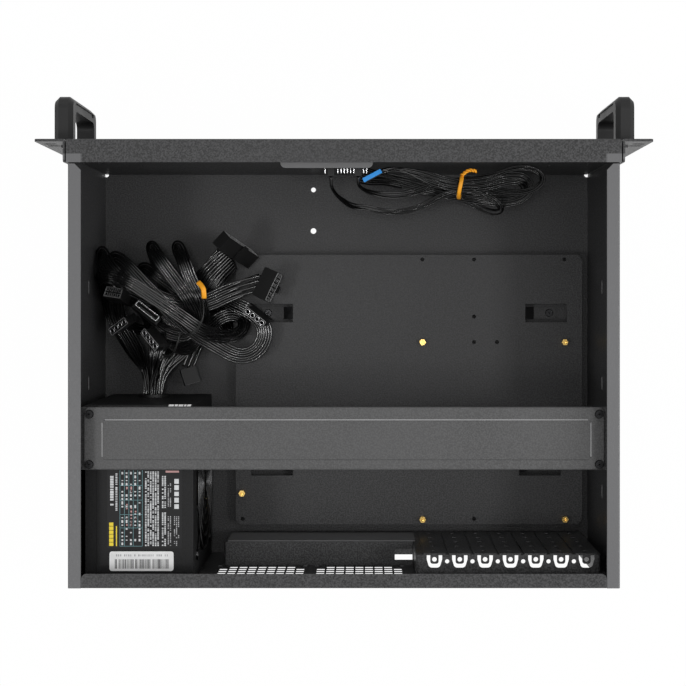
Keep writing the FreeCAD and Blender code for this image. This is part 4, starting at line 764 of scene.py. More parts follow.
@dataclass(frozen=True)
class Cable:
    """One cable: a few wires side by side along a smooth route. Its sizes are in millimetres.

    Attributes:
        node: The CAD node that it stands for.
        points: Its route.
        wires: How many wires it has.
        wire: A wire's diameter.
        pitch: The distance between wires where they lie flat.
        plug: The CAD node of its plug, if it has one. Not used.
        spread: The direction of the row of wires at the plug.
        rows: Rows of wires in the plug.
        fan: The distance between wires at the plug.
        stray: How far a wire wanders from its place.
        look: Its finish, the slot's own by default.
    """

    node: str
    points: tuple[Point, ...]
    wires: int
    wire: float = 1.8
    pitch: float = 1.95
    plug: str | None = None
    spread: Point | None = None
    rows: int = 1
    fan: float = 1.95
    stray: float = 0.5
    look: str | None = None

    SIDES = 8
    LEAN = (0.0, 0.0, 1.0)
    # In metres: between points, from bundle to flat, from flat to plug, held in the plug's own
    # direction, and evened on each side. The hold's weight is for that direction.
    STEP, OPENED, FANNED, HELD, EVENED = 0.0022, 0.05, 0.035, 0.012, 0.030
    HOLD = 6.0
    # The waves per metre of a wire's wander, and its shares of the stray along and out of the row.
    WAVES, SHARES = (18.0, 75.0), (0.8, 1.6)
    # How tightly a bundle is packed, and the least length of a cable in its own widths.
    PACKED, SLENDER = 0.56, 6.2

    def line(self) -> np.ndarray:
        """Reads the route's points from its own smooth spline, in metres."""
        return resampled(smooth_line(self.points), self.STEP)

    def across(self, line: np.ndarray) -> tuple[np.ndarray, np.ndarray]:
        """Finds the direction across the ribbon at each point, and the one out of its face.

        Args:
            line: The centre line.

        Returns:
            The two directions at each point.
        """
        tangents = unit(np.gradient(line, axis=0))
        side, up = carried_frame(tangents)
        aims = np.cross(tangents, self.LEAN)
        weights = np.linalg.norm(aims, axis=1) ** 2 + 1e-4
        if self.spread:
            near = max(4, int(self.HELD / self.STEP))
            aims[-near:] = np.array(self.spread)
            weights[-near:] = self.HOLD
        angles = np.arctan2(np.sum(aims * up, axis=1), np.sum(aims * side, axis=1))
        for i in range(1, len(angles)):
            turns = round((angles[i] - angles[i - 1]) / math.pi)
            angles[i] -= turns * math.pi
        reach = int(self.EVENED / self.STEP)
        wide = turned(evened(angles * weights, reach) / evened(weights, reach), side, up)
        return wide, np.cross(tangents, wide)

    def bundle(self) -> np.ndarray:
        """Places the wires in a round bundle, as they leave the supply.

        Returns:
            Each wire's place in the section.
        """
        number = np.arange(self.wires)
        turns = math.pi * (3.0 - math.sqrt(5.0)) * number
        radius = self.PACKED * self.wire * np.sqrt(number + 0.4)
        return np.stack([radius * np.cos(turns), radius * np.sin(turns)], axis=1) * MM

    def row(self) -> np.ndarray:
        """Places the wires side by side."""
        x = (np.arange(self.wires) - (self.wires - 1) / 2) * self.pitch
        return np.stack([x, np.zeros(self.wires)], axis=1) * MM

    def grid(self) -> np.ndarray:
        """Places the wires in the rows of the plug.

        Returns:
            Each wire's place in the section.
        """
        column, row = np.divmod(np.arange(self.wires), self.rows)
        x = (column - (math.ceil(self.wires / self.rows) - 1) / 2) * self.fan
        y = (row - (self.rows - 1) / 2) * self.fan
        return np.stack([x, y], axis=1) * MM

    def strands(self, line: np.ndarray) -> list[np.ndarray]:
        """Works out each wire's own line.

        Args:
            line: The cable's centre line.

        Returns:
            One line for each wire.
        """
        wide, out = self.across(line)
        run = run_of(line)
        start = ease(1.0 - run / self.OPENED)
        end = ease(1.0 - (run[-1] - run) / self.FANNED)
        calm = (1.0 - start) * (1.0 - end)
        chance = random.Random(self.node)
        lines = []
        for bundle, row, grid in zip(self.bundle(), self.row(), self.grid()):
            place = np.outer(start, bundle) + np.outer(1.0 - start, row)
            place = (1.0 - end)[:, None] * place + np.outer(end, grid)
            for axis, share in enumerate(self.SHARES):
                wander = sum(
                    np.sin(run * chance.uniform(*self.WAVES) + chance.uniform(0.0, 2.0 * math.pi))
                    for _ in range(3)) / 3.0
                place[:, axis] += wander * (self.stray * share) * MM * calm
            lines.append(line + place[:, :1] * wide + place[:, 1:] * out)
        return lines

    def build(self) -> None:
        line = self.line()
        shell = Shell()
        for strand in self.strands(line):
            shell.tube(strand, self.wire * MM / 2, self.SIDES)
        piece = shell.piece(f"{self.node}_wires", "cable_sheath", self.look)
        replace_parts(piece, self.node)


CABLES = (
    Cable("main_cable", (
        (166, 33, 44), (166, 14, 44), (160, -4, 32), (154, -22, 38), (144, -34, 36), (131, -49, 40),
        (117, -66, 52), (107, -79, 50), (99.4, -87.4, 45),
    ), 20, 1.7, 1.3, "main_plug", (0.42, -0.3, 0.86), 2, 3.4),
    Cable("drive_cable_1", (
        (171.4, 33, 47.1), (171.4, 14, 47.1), (182, -6, 32), (197, -30, 30), (199, -56, 42),
        (199, -86, 60), (188, -82, 80), (172, -65, 83), (153, -46, 80), (134, -26, 66),
        (114, -12, 46), (92, 1, 38), (75, -6, 36), (69, -24, 36), (80, -38, 38), (97, -46, 36),
        (116, -56, 30), (135, -60, 29), (155, -57, 30), (174, -49, 38), (186, -46.5, 54),
        (189, -51, 69),
    ), 7, 1.8, 1.95, "processor_plug", (-0.96, 0.28, 0.0), 2, 4.2),
    Cable("board_cable", (
        (166, 33, 50.2), (166, 14, 50.2), (160, -6, 58), (163, -30, 44), (184, -52, 28),
        (205, -70, 30), (209, -92, 56), (203, -80, 76), (189, -65, 80), (167, -54, 68),
        (145, -45, 58), (121, -45, 54), (96, -58, 52), (73, -65, 44),
    ), 8, 1.8, 1.95, "board_plug", (0.50, 0.86, 0.0), 2, 4.2),
    Cable("drive_cable_2", (
        (160.6, 33, 47.1), (160.6, 14, 47.1), (150, -4, 44), (148, -30, 22), (158, -58, 16),
        (166, -84, 24), (168, -98, 48), (160, -88, 72), (146, -69, 72), (134, -53, 74),
        (125, -32, 52), (138, -17, 44), (156, -22, 48), (166, -33, 60), (167.8, -36.8, 76),
    ), 6, 1.8, 1.95, "disk_plug", (-0.79, 0.62, 0.0)),
    Cable("drive_cable_3", (
        (160.6, 33, 40.9), (160.6, 14, 40.9), (138, -8, 30), (128, -32, 17), (134, -62, 14),
        (144, -86, 22), (146, -98, 46), (138, -86, 70), (131, -66, 70), (121, -47, 66),
        (123, -26, 40), (132, -10, 36), (141, -6, 50), (150, -9, 60), (157, -17, 69),
    ), 6, 1.8, 1.95, "drive_plug_1", (-0.74, 0.68, 0.1)),
    Cable("card_cable", (
        (171.4, 33, 40.9), (171.4, 14, 40.9), (188, -6, 20), (205, -30, 12), (209, -54, 26),
        (209, -68, 52), (205, -70, 82), (182, -67, 102), (163, -54, 96), (142, -40, 92),
        (122, -24, 76), (106, -17, 56), (91, -20, 43), (87, -32, 28), (99, -38, 26), (112, -33, 31),
        (125, -20, 25), (134, -5, 18), (139, 10, 20),
    ), 6, 1.8, 1.95, "card_plug", (0.9, 0.3, 0.2), 2, 4.2),
    Cable("drive_cable_4", (
        (166, 33, 37.8), (166, 14, 37.8), (168, -12, 20), (176, -36, 10), (184, -60, 14),
        (178, -80, 32), (166, -74, 52), (146, -58, 44), (135, -44, 28), (119, -32, 22),
        (108, -18, 16), (103, -29, 10), (112, -42, 8), (133, -39, 8), (154, -27, 8), (172, -22, 12),
        (182, -24, 26), (186, -28, 42), (186, -30, 57),
    ), 5, 1.8, 1.95, "drive_plug_2", (-0.85, -0.55, 0.2)),
    Cable("switch_cable", (
        (10.6, -148, 149), (10.6, -142, 147), (9, -137, 139), (3, -131, 128), (-6, -125, 116),
        (-18, -125, 108), (-31, -122, 102), (-48, -122, 98), (-66, -128, 98), (-84, -138, 102),
        (-103, -141, 108), (-122, -133, 111), (-131, -123, 104), (-121, -121, 94), (-104, -131, 86),
        (-90, -138, 88),
    ), 4, 1.2, 1.3, stray=1.2, look="thin_sheath"),
    Cable("lamp_cable", (
        (-11, -148, 149), (-11, -142, 147), (-14, -139, 136), (-24, -136, 124), (-38, -134, 114),
        (-55, -136, 108), (-75, -145, 108), (-96, -148, 112), (-118, -150, 122), (-136, -156, 136),
        (-152, -155, 142), (-161, -147, 136), (-153, -138, 126), (-135, -136, 116),
        (-116, -142, 106), (-97, -145, 98), (-80, -144, 96),
    ), 4, 1.2, 1.3, stray=1.2, look="thin_sheath"),
    Cable("usb_cable", (
        (-29, -152, 140), (-36, -155, 139), (-47, -154, 135), (-61, -151, 128), (-80, -145, 121),
        (-98, -142, 119), (-118, -144, 122), (-134, -149, 124), (-147, -147, 122),
        (-151, -138, 114), (-139, -131, 106), (-120, -132, 98), (-99, -136, 93), (-74, -140, 93),
        (-52, -146, 100), (-33, -149, 112), (-19, -149, 124), (-12, -151.5, 133),
    ), 8, 1.3, 1.35, stray=0.8, look="thin_sheath"),
)


# --- patterns ---
@dataclass(frozen=True)
class Seat:
    """Where one copy of a small piece sits.

    Attributes:
        place: Its origin.
        out: The direction of its own +Z.
        along: A direction near its own +X.
        size: Its scale along its own axes.
        second: The scale of its second part, where it has one.
    """

    place: Point
    out: Point
    along: Point
    size: Point = (1.0, 1.0, 1.0)
    second: Point = (1.0, 1.0, 1.0)

    def matrix(self) -> Matrix:
        """Works out the seat's own frame.

        Returns:
            The matrix from it to the case.
        """
        z = Vector(self.out).normalized()
        x = Vector(self.along)
        x = (x - z * x.dot(z)).normalized()
        matrix = Matrix((x, z.cross(x), z)).transposed().to_4x4()
        matrix.translation = Vector(self.place)
        return matrix

    def at(self, x: float, y: float, z: float) -> Point:
        """Turns a place in the seat's own frame, in millimetres, into a place on the case."""
        return tuple(self.matrix() @ Vector((x * MM, y * MM, z * MM)))


def seat_mesh(name: str, seats: Sequence[Seat]) -> bpy.types.Mesh:
    """Makes a mesh with a vertex at each seat, which carries its turn and its scales.

    Args:
        name: The mesh's name.
        seats: The seats.

    Returns:
        The mesh.
    """
    mesh = bpy.data.meshes.new(name)
    mesh.from_pydata([one.place for one in seats], [], [])
    for label, rows in (("turn", [tuple(one.matrix().to_euler()) for one in seats]),
                        ("size", [one.size for one in seats]),
                        ("second", [one.second for one in seats])):
        layer = mesh.attributes.new(label, "FLOAT_VECTOR", "POINT")
        layer.data.foreach_set("vector", np.array(rows, dtype=np.float32).ravel())
    return mesh


class Pattern(Nodes):
    """A Geometry Nodes tree with named inputs, whose result becomes one plain mesh."""

    def __init__(self, name: str) -> None:
        """Starts the tree with its geometry input and output.

        Args:
            name: The tree's name, and that of its piece.
        """
        super().__init__(bpy.data.node_groups.new(name, "GeometryNodeTree"))
        self.name = name
        for label, way in (("Seats", "INPUT"), ("Pieces", "OUTPUT")):
            self.tree.interface.new_socket(label, in_out=way, socket_type="NodeSocketGeometry")
        self.inlet = self.add("NodeGroupInput")
        self.identifiers: dict[str, str] = {}

    def number(self, name: str, whole: bool = False) -> Socket:
        """Adds a named input.

        Args:
            name: Its name.
            whole: Whether it is a whole number.

        Returns:
            Its socket.
        """
        kind = "NodeSocketInt" if whole else "NodeSocketFloat"
        entry = self.tree.interface.new_socket(name, in_out="INPUT", socket_type=kind)
        self.identifiers[name] = entry.identifier
        return self.inlet.outputs[name]

    def attribute(self, name: str) -> Socket:
        """Reads a vector that the seats carry."""
        kind = "GeometryNodeInputNamedAttribute"
        return self.get(kind, {"Name": name}, data_type="FLOAT_VECTOR")

    def moved(self, shape: Socket, up: float = 0.0, turn: float = 0.0) -> Socket:
        """Moves a shape along Z and turns it round Z."""
        place = {"Translation": (0.0, 0.0, up), "Rotation": (0.0, 0.0, turn)}
        return self.get("GeometryNodeTransform", {"Geometry": shape, **place})

    def joined(self, *shapes: Socket) -> Socket:
        """Joins shapes."""
        return self.get("GeometryNodeJoinGeometry", {0: list(shapes)})

    def spread(self, shape: Socket, **inputs: Socket) -> Socket:
        """Puts a copy of a shape on every seat."""
        points = {"Points": self.inlet.outputs["Seats"], "Instance": shape}
        return self.get("GeometryNodeInstanceOnPoints", {**points, **inputs})

    def copies(self, shape: Socket, size: str = "size") -> Socket:
        """Puts a copy of a shape on every seat, turned and scaled as the seat says."""
        turn = self.get("FunctionNodeEulerToRotation", {"Euler": self.attribute("turn")})
        return self.spread(shape, Rotation=turn, Scale=self.attribute(size))

    def close(self, shape: Socket, look: str) -> None:
        """Ends the tree: makes the copies real and gives them their material.

        Args:
            shape: The copies.
            look: Their finish.
        """
        real = self.get("GeometryNodeRealizeInstances", {0: shape})
        paint = self.get("GeometryNodeSetMaterial", {"Geometry": real, "Material": finish(look)})
        self.add("NodeGroupOutput", {0: paint})

    def mesh(self, seats: bpy.types.Mesh, sizes: dict[str, float]) -> bpy.types.Mesh:
        """Runs the tree on the seats.

        Args:
            seats: A mesh with a vertex at each seat.
            sizes: The named inputs' values.

        Returns:
            The result as a plain mesh.
        """
        holder = placed(self.name, seats)
        modifier = holder.modifiers.new(self.name, "NODES")
        modifier.node_group = self.tree
        for name, value in sizes.items():
            modifier[self.identifiers[name]] = value
        bpy.context.view_layer.update()
        evaluated = holder.evaluated_get(bpy.context.evaluated_depsgraph_get())
        mesh = bpy.data.meshes.new_from_object(evaluated)
        holder.modifiers.remove(modifier)
        bpy.data.objects.remove(holder)
        LOG.info("%s: %d faces", self.name, len(mesh.polygons))
        return mesh

    def lay(self, shape: Socket, seats: Sequence[Seat], slot: str, look: str,
            **sizes: float) -> Thing:
        """Ends the tree, runs it on its seats and makes the result a piece.

        Args:
            shape: The copies.
            seats: Where they sit.
            slot: The record's material slot.
            look: The finish.
            sizes: The named inputs' values.

        Returns:
            The piece.
        """
        self.close(shape, look)
        mesh = self.mesh(seat_mesh(f"{self.name}_seats", seats), sizes)
        return seat(mesh, self.name, slot, look)


def cross_screws(seats: Sequence[Seat]) -> Thing:
    """Makes bevelled screw heads with a cross recess, each over its shank.

    Args:
        seats: Where each screw sits, with the scales of its head and its shank.

    Returns:
        The piece.
    """
    pattern = Pattern("cross_screws")
    bevel, arm, depth = pattern.number("Bevel"), pattern.number("Arm"), pattern.number("Depth")
    head = pattern.get("GeometryNodeMeshCone", {
        "Vertices": 24, "Radius Top": bevel, "Radius Bottom": 1.0, "Depth": 1.0})
    size = pattern.get("ShaderNodeCombineXYZ", {"X": 1.15, "Y": arm, "Z": depth})
    bar = pattern.get("GeometryNodeMeshCube", {"Size": size})
    cross = [pattern.moved(bar, 1.0, turn) for turn in (0.0, math.pi / 2)]
    head = pattern.get("GeometryNodeMeshBoolean", {"Mesh 1": head, "Mesh 2": cross},
                       operation="DIFFERENCE")
    rod = pattern.get("GeometryNodeMeshCylinder", {"Vertices": 12, "Radius": 1.0, "Depth": 1.0})
    rod = pattern.copies(pattern.moved(rod, -0.5), "second")
    return pattern.lay(pattern.joined(pattern.copies(head), rod), seats, "screw_steel",
                       "screw_steel", Bevel=0.84, Arm=0.3, Depth=1.3)


def rims(name: str, seats: Sequence[Seat], sides: int, wire: float, look: str) -> None:
    """Makes thin rims round the wells of a plug.

    Args:
        name: The piece's name.
        seats: Where each rim sits, with its half width as its scale.
        sides: The sides of each rim.
        wire: The rim's own radius as a share of its half width.
        look: Its finish.
    """
    pattern = Pattern(name)
    count, thick = pattern.number("Sides", whole=True), pattern.number("Wire")
    circle = "GeometryNodeCurvePrimitiveCircle"
    path = pattern.get(circle, {"Resolution": count, "Radius": 1.0})
    section = pattern.get(circle, {"Resolution": 6, "Radius": thick})
    ring = pattern.get("GeometryNodeCurveToMesh", {
        "Curve": pattern.moved(path, turn=math.pi / 4), "Profile Curve": section})
    pattern.lay(pattern.copies(ring), seats, "plug_plastic", look, Sides=sides, Wire=wire)


def studs(name: str, seats: Sequence[Seat], slot: str, look: str) -> None:
    """Makes square studs with a taper at their tips, such as pins and small parts on a board.

    Args:
        name: The piece's name.
        seats: Where each stud stands, with its size.
        slot: The record's material slot.
        look: Its finish.
    """
    pattern = Pattern(name)
    stem = 0.86
    block = pattern.get("GeometryNodeMeshCube", {"Size": (1.0, 1.0, stem)})
    tip = pattern.get("GeometryNodeMeshCone", {
        "Vertices": 4, "Radius Top": pattern.number("Taper"), "Radius Bottom": math.sqrt(0.5),
        "Depth": 1.0 - stem})
    stud = pattern.joined(pattern.moved(block, stem / 2), pattern.moved(tip, stem, math.pi / 4))
    pattern.lay(pattern.copies(stud), seats, slot, look, Taper=0.5)


@dataclass(frozen=True)
class Print:
    """A field of printed bars, in rows. Its sizes are in millimetres.

    Attributes:
        name: The field's name.
        x: Its range along X.
        y: Its range along Y.
        rows: How many rows it has, side by side along X.
        bars: How many bars a row has, one after another along Y.
        tall: A bar's size along X as a share of its row.
        widths: The least and the most of a bar's size along Y, as a share of its step.
        look: The ink.
        kept: The share of bars that are printed.
        seed: The seed of its random widths and gaps.
        turned: Whether its rows lie along X instead, one after another along Y.
    """

    name: str
    x: Range
    y: Range
    rows: int
    bars: int
    tall: float
    widths: Range
    look: str
    kept: float
    seed: int
    turned: bool = False

    # A bar's thickness in metres.
    THICK = 0.00006

    def build(self, top: float) -> None:
        """Lays the field on a surface.

        Args:
            top: The height of the surface.
        """
        run, span = (self.x, self.y) if self.turned else (self.y, self.x)
        step = (run[1] - run[0]) / self.bars * MM
        row = (span[1] - span[0]) / self.rows * MM
        seats = bpy.data.meshes.new(f"{self.name}_seats")
        seats.from_pydata([((i + 0.5) * step, (j + 0.5) * row, 0.0)
                           for j in range(self.rows) for i in range(self.bars)], [], [])
        mesh = self.pattern().mesh(seats, {
            "Shortest": self.widths[0] * step, "Longest": self.widths[1] * step,
            "Tall": self.tall * row, "Thick": self.THICK, "Kept": self.kept, "Seed": self.seed})
        turn = Matrix.Identity(4)
        if not self.turned:
            turn = Matrix(((0, 1, 0, 0), (1, 0, 0, 0), (0, 0, -1, 0), (0, 0, 0, 1)))
        corner = Vector((self.x[0] * MM, self.y[0] * MM, top + self.THICK / 2))
        mesh.transform(Matrix.Translation(corner) @ turn)
        seat(mesh, self.name, "label_film", self.look)

    def pattern(self) -> Pattern:
        """Builds the tree: a bar of random length on each seat that is kept.

        Returns:
            The tree.
        """
        pattern = Pattern(self.name)
        shortest, longest, tall, thick, kept = (
            pattern.number(name) for name in ("Shortest", "Longest", "Tall", "Thick", "Kept"))
        seed = pattern.number("Seed", whole=True)
        chance = "FunctionNodeRandomValue"
        length = pattern.get(chance, {2: shortest, 3: longest, "Seed": seed}, 1, data_type="FLOAT")
        shown = pattern.get(chance, {"Probability": kept, "Seed": seed}, 3, data_type="BOOLEAN")
        size = pattern.get("ShaderNodeCombineXYZ", {"X": length, "Y": tall, "Z": thick})
        bar = pattern.get("GeometryNodeMeshCube", {"Size": (1.0, 1.0, 1.0)})
        pattern.close(pattern.spread(bar, Selection=shown, Scale=size), self.look)
        return pattern


# --- labels ---
def rounded(x: Range, y: Range, radius: float) -> list[Range]:
    """Draws a rectangle with round corners.

    Args:
        x: Its range along X in millimetres.
        y: Its range along Y in millimetres.
        radius: The corners' radius in millimetres.

    Returns:
        The outline in metres, anticlockwise.
    """
    outline = []
    for quarter, (cx, cy) in enumerate(((x[1], y[1]), (x[0], y[1]), (x[0], y[0]), (x[1], y[0]))):
        mid_x = cx - math.copysign(radius, cx - sum(x) / 2)
        mid_y = cy - math.copysign(radius, cy - sum(y) / 2)
        for step in range(5):
            angle = math.pi * (quarter / 2 + step / 8)
            outline.append(((mid_x + radius * math.cos(angle)) * MM,
                            (mid_y + radius * math.sin(angle)) * MM))
    return outline


# The rating plate's printed fields: plain bars where words would be, and a table's ruled cells.
PRINTS = (
    Print("plate_heading", (182.9, 186.3), (88.0, 118.0), 1, 15, 0.8, (0.5, 0.92),
          "pale_ink", 0.9, 3),
    Print("plate_subheading", (179.9, 182.0), (88.0, 118.0), 1, 22, 0.72, (0.4, 0.9),
          "pale_ink", 0.85, 4),
    Print("plate_badge", (183.2, 186.9), (127.0, 146.0), 1, 6, 0.9, (0.8, 0.9),
          "yellow_ink", 1.0, 5),
    Print("plate_rule", (180.4, 181.5), (130.0, 146.0), 1, 1, 0.8, (0.98, 1.0),
          "yellow_ink", 1.0, 6),
    Print("plate_table_words", (160.9, 178.0), (86.5, 145.6), 5, 20, 0.4, (0.2, 0.85),
          "pale_ink", 0.62, 7),
    Print("plate_table_tint", (164.0, 174.4), (98.5, 130.5), 3, 12, 0.34, (0.3, 0.9),
          "rose_ink", 0.35, 8),
    Print("plate_dense_words", (146.9, 158.6), (86.5, 146.0), 6, 46, 0.62, (0.4, 0.95),
          "pale_ink", 0.88, 9),
    Print("plate_small_words_a", (141.3, 145.2), (90.0, 116.0), 2, 18, 0.6, (0.4, 0.95),
          "pale_ink", 0.85, 10),
    Print("plate_small_words_b", (141.3, 145.2), (119.0, 146.0), 2, 18, 0.6, (0.4, 0.95),
          "pale_ink", 0.85, 11),
    Print("plate_small_words_c", (137.2, 140.6), (96.0, 116.0), 2, 16, 0.5, (0.4, 0.95),
          "grey_ink", 0.7, 12),
    Print("plate_small_words_d", (137.2, 140.6), (122.0, 146.0), 2, 18, 0.5, (0.4, 0.95),
          "grey_ink", 0.8, 13),
    Print("plate_boxes", (131.0, 135.4), (92.0, 117.0), 1, 5, 0.8, (0.55, 0.8),
          "pale_ink", 1.0, 14),
    Print("plate_corner_bar", (131.0, 142.2), (86.0, 87.6), 1, 1, 0.95, (0.95, 1.0),
          "rose_ink", 1.0, 15),
    Print("plate_foot_words", (130.8, 135.6), (122.0, 146.0), 3, 16, 0.5, (0.3, 0.9),
          "grey_ink", 0.75, 16),
    Print("sticker_bars", (139.2, 182.4), (156.2, 164.0), 1, 48, 0.96, (0.2, 0.8),
          "black_ink", 0.86, 17, True),
    Print("sticker_digits", (139.8, 181.6), (152.3, 154.3), 1, 26, 0.8, (0.3, 0.7),
          "grey_ink", 0.85, 18, True),
)


@dataclass(frozen=True)
class SupplyLabels:
    """The supply's rating plate, its white sticker, and the folded seal, in millimetres.

    Attributes:
        plate: The rating plate's ranges along X and Y.
        sticker: The white sticker's ranges.
        corners: The radii of their corners.
        columns: The table's ruled lines along Y, by their X.
        rows: The table's ruled lines along X, by their Y.
        line: A ruled line's width.
        seal_start: Where the seal begins along X.
        seal_widths: The widths of the seal's torn pieces.
        seal_gap: The gap between them.
        seal_lean: How far they lean along X.
        seal_reach: How far the seal reaches over the top.
        seal_fold: How far it is folded down the front.
    """

    plate: tuple[Range, Range] = ((128.8, 188.5), (68.0, 147.8))
    sticker: tuple[Range, Range] = ((135.6, 186.5), (150.2, 165.7))
    corners: Range = (0.5, 2.0)
    columns: tuple[float, ...] = (178.2, 174.6, 171.1, 167.6, 164.0, 160.4)
    rows: tuple[float, ...] = (85.6, 97.8, 109.4, 120.9, 131.5, 146.0)
    line: float = 0.28
    seal_start: float = 121.5
    seal_widths: tuple[float, ...] = (3.1, 1.7, 3.6, 2.4, 4.1)
    seal_gap: float = 0.7
    seal_lean: float = 1.2
    seal_reach: float = 3.2
    seal_fold: float = 3.0

    # The seal's thickness in metres.
    FILM = 0.0002

    def build(self) -> None:
        """Makes the labels with all their printing."""
        low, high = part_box("psu_labels")
        plate = Shell(smooth=False)
        plate.slab(rounded(*self.plate, self.corners[0]), low[2], high[2])
        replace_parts(plate.piece("rating_plate", "label_film"), "psu_labels")
        sticker = Shell(smooth=False)
        sticker.slab(rounded(*self.sticker, self.corners[1]), low[2], high[2])
        sticker.piece("white_sticker", "label_film", "paper")
        self.table(high[2])
        for printed in PRINTS:
            printed.build(high[2])
        self.seal(low[2])

    def table(self, top: float) -> None:
        """Rules the rating table; two of its lines stop before the last column of cells.

        Args:
            top: The height of the plate.
        """
        table = Shell(smooth=False)
        half = self.line / 2
        for i, x in enumerate(self.columns):
            end = self.rows[4] if i in (2, 4) else self.rows[-1]
            self.rule(table, (x - half, self.rows[0]), (x + half, end), top)
        for y in self.rows[1:]:
            self.rule(table, (self.columns[-1], y - half), (self.columns[0], y + half), top)
        table.piece("rating_table", "label_film", "teal_ink")

    @staticmethod
    def rule(shell: Shell, start: Range, end: Range, top: float) -> None:
        """Adds one ruled line between two corners."""
        thick = Print.THICK * 1.2
        shell.box((start[0] * MM, start[1] * MM, top), (end[0] * MM, end[1] * MM, top + thick))

    def seal(self, top: float) -> None:
        """Makes the torn seal, folded over the cover's front edge.

        Args:
            top: The height of the cover.
        """
        seal = Shell(smooth=False)
        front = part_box("psu_cover")[0][1]
        outer, rear = front - self.FILM, front + self.seal_reach * MM
        start, lean = self.seal_start * MM, self.seal_lean * MM
        for wide in self.seal_widths:
            end = start + wide * MM
            edge = [(start, outer), (end, outer)]
            seal.slab([*edge, (end + lean, rear), (start + lean, rear)], top, top + self.FILM)
            seal.slab([*edge, (end, front), (start, front)], top - self.seal_fold * MM, top)
            start = end + self.seal_gap * MM
        seal.piece("edge_seal", "label_film", "paper")


# --- screws, folds, contacts and pins ---
def islands(mesh: bpy.types.Mesh) -> list[np.ndarray]:
    """Splits a mesh into its separate solids, by joining places that share an edge.

    Args:
        mesh: The mesh, whose faces may not share their vertices.

    Returns:
        The vertices of each solid.
    """
    points = np.array([tuple(vertex.co) for vertex in mesh.vertices])
    place = np.unique(np.round(points, 6), axis=0, return_inverse=True)[1].ravel()
    ends = place[np.array([tuple(edge.vertices) for edge in mesh.edges])]
    group, before = np.arange(len(points)), None
    while before is None or (group != before).any():
        before = group.copy()
        for side in (0, 1):
            np.minimum.at(group, ends[:, side], before[ends].min(axis=1))
    labels = group[place]
    return [points[labels == one] for one in dict.fromkeys(labels.tolist())]


# How near its radius a rim's points lie; a shank's share of its head's radius; its least length.
RIM_BAND, SHANK, SHORTEST_SHANK = 0.00002, 0.45, 0.0005


def screw_seat(points: np.ndarray) -> Seat:
    """Works out a screw's seat from its solid.

    Args:
        points: The solid's vertices.

    Returns:
        The seat, on the axis that the round head stands on, with the sizes of head and shank.
    """
    low, high = points.min(axis=0), points.max(axis=0)
    size, middle = high - low, (low + high) / 2
    axis = int(np.argmin([abs(size[i - 2] - size[i - 1]) for i in range(3)]))
    across = [i for i in range(3) if i != axis]
    reach = np.linalg.norm((points - middle)[:, across], axis=1)
    radius = float(reach.max())
    rim = points[reach > radius - RIM_BAND][:, axis]
    sign = 1.0 if rim.mean() > middle[axis] else -1.0
    heights = sign * points[:, axis]
    root = float((sign * rim).min())
    place, out, along = middle.copy(), np.zeros(3), np.zeros(3)
    place[axis], out[axis] = sign * root, sign
    along[across] = (1.0, 0.4)
    shank = radius * SHANK
    return Seat(tuple(place), tuple(out), tuple(along), (radius, radius, heights.max() - root),
                (shank, shank, max(root - heights.min(), SHORTEST_SHANK)))


class CaseScrews:
    """All the case's screws, with their cross recesses."""

    def build(self) -> None:
        """Makes a screw in the place of each plain one."""
        plain = frame["nodes"]["case_screws"].data
        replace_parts(cross_screws([screw_seat(points) for points in islands(plain)]), "case_screws")


@dataclass(frozen=True)
class PanelHighlights:
    """Light-grey beads round the beam's pressed panel, at its front and both ends: painted
    highlights on its folds.

    Attributes:
        left: Middle of the fold at the panel's end on the side of the card slots, along X.
        right: Middle of the one on the supply's side.
        front: Middle of the front fold, along Y.
        rear: Where the end folds stop.
        top: Height of the beam.
        width: Width of a fold.
        rise: How far a fold stands up.
        corner: How far the folds stop before a corner.
    """

    left: float = -0.19490
    right: float = 0.19130
    front: float = 0.04520
    rear: float = 0.07650
    top: float = 0.158
    width: float = 0.00042
    rise: float = 0.00012
    corner: float = 0.0022

    def build(self) -> None:
        """Makes the three painted fold highlights."""
        shell = Shell(smooth=False)
        half, low, high = self.width / 2, self.top - self.rise, self.top + self.rise
        start, end = self.left + self.corner, self.right - self.corner
        shell.box((start, self.front - half, low), (end, self.front + half, high))
        start, end = self.front + self.corner, self.rear - self.corner
        for x in (self.left, self.right):
            shell.box((x - half, start, low), (x + half, end, high))
        # Painted highlight: the beads take a light grey that stands in for the light on the folds.
        shell.piece("panel_fold_highlights", "case_paint", "fold_highlight_paint")


@dataclass(frozen=True)
class Plug:
    """A plug whose contacts are made here. Its sizes are in millimetres.

    Attributes:
        place: Where its wires enter.
        out: The way its mouth looks.
        along: The run of its long side.
        columns: Contacts along its long side.
        rows: Rows of contacts.
        pitch: The distance between contacts.
        half: A rim's half width.
    """

    place: Point
    out: Point
    along: Point
    columns: int
    rows: int = 2
    pitch: float = 4.2
    half: float = 1.75

    TALL = 14.0

    def seat(self) -> Seat:
        """Gives the plug's own seat."""
        return Seat(tuple(value * MM for value in self.place), self.out, self.along)

    def seats(self) -> list[Seat]:
        """Finds the seat of every contact's rim, on the plug's mouth.

        Returns:
            The seats.
        """
        whole, size = self.seat(), (self.half * MM,) * 3
        x = [(i - (self.columns - 1) / 2) * self.pitch for i in range(self.columns)]
        y = [(j - (self.rows - 1) / 2) * self.pitch for j in range(self.rows)]
        return [Seat(whole.at(a, b, self.TALL), self.out, self.along, size) for a in x for b in y]


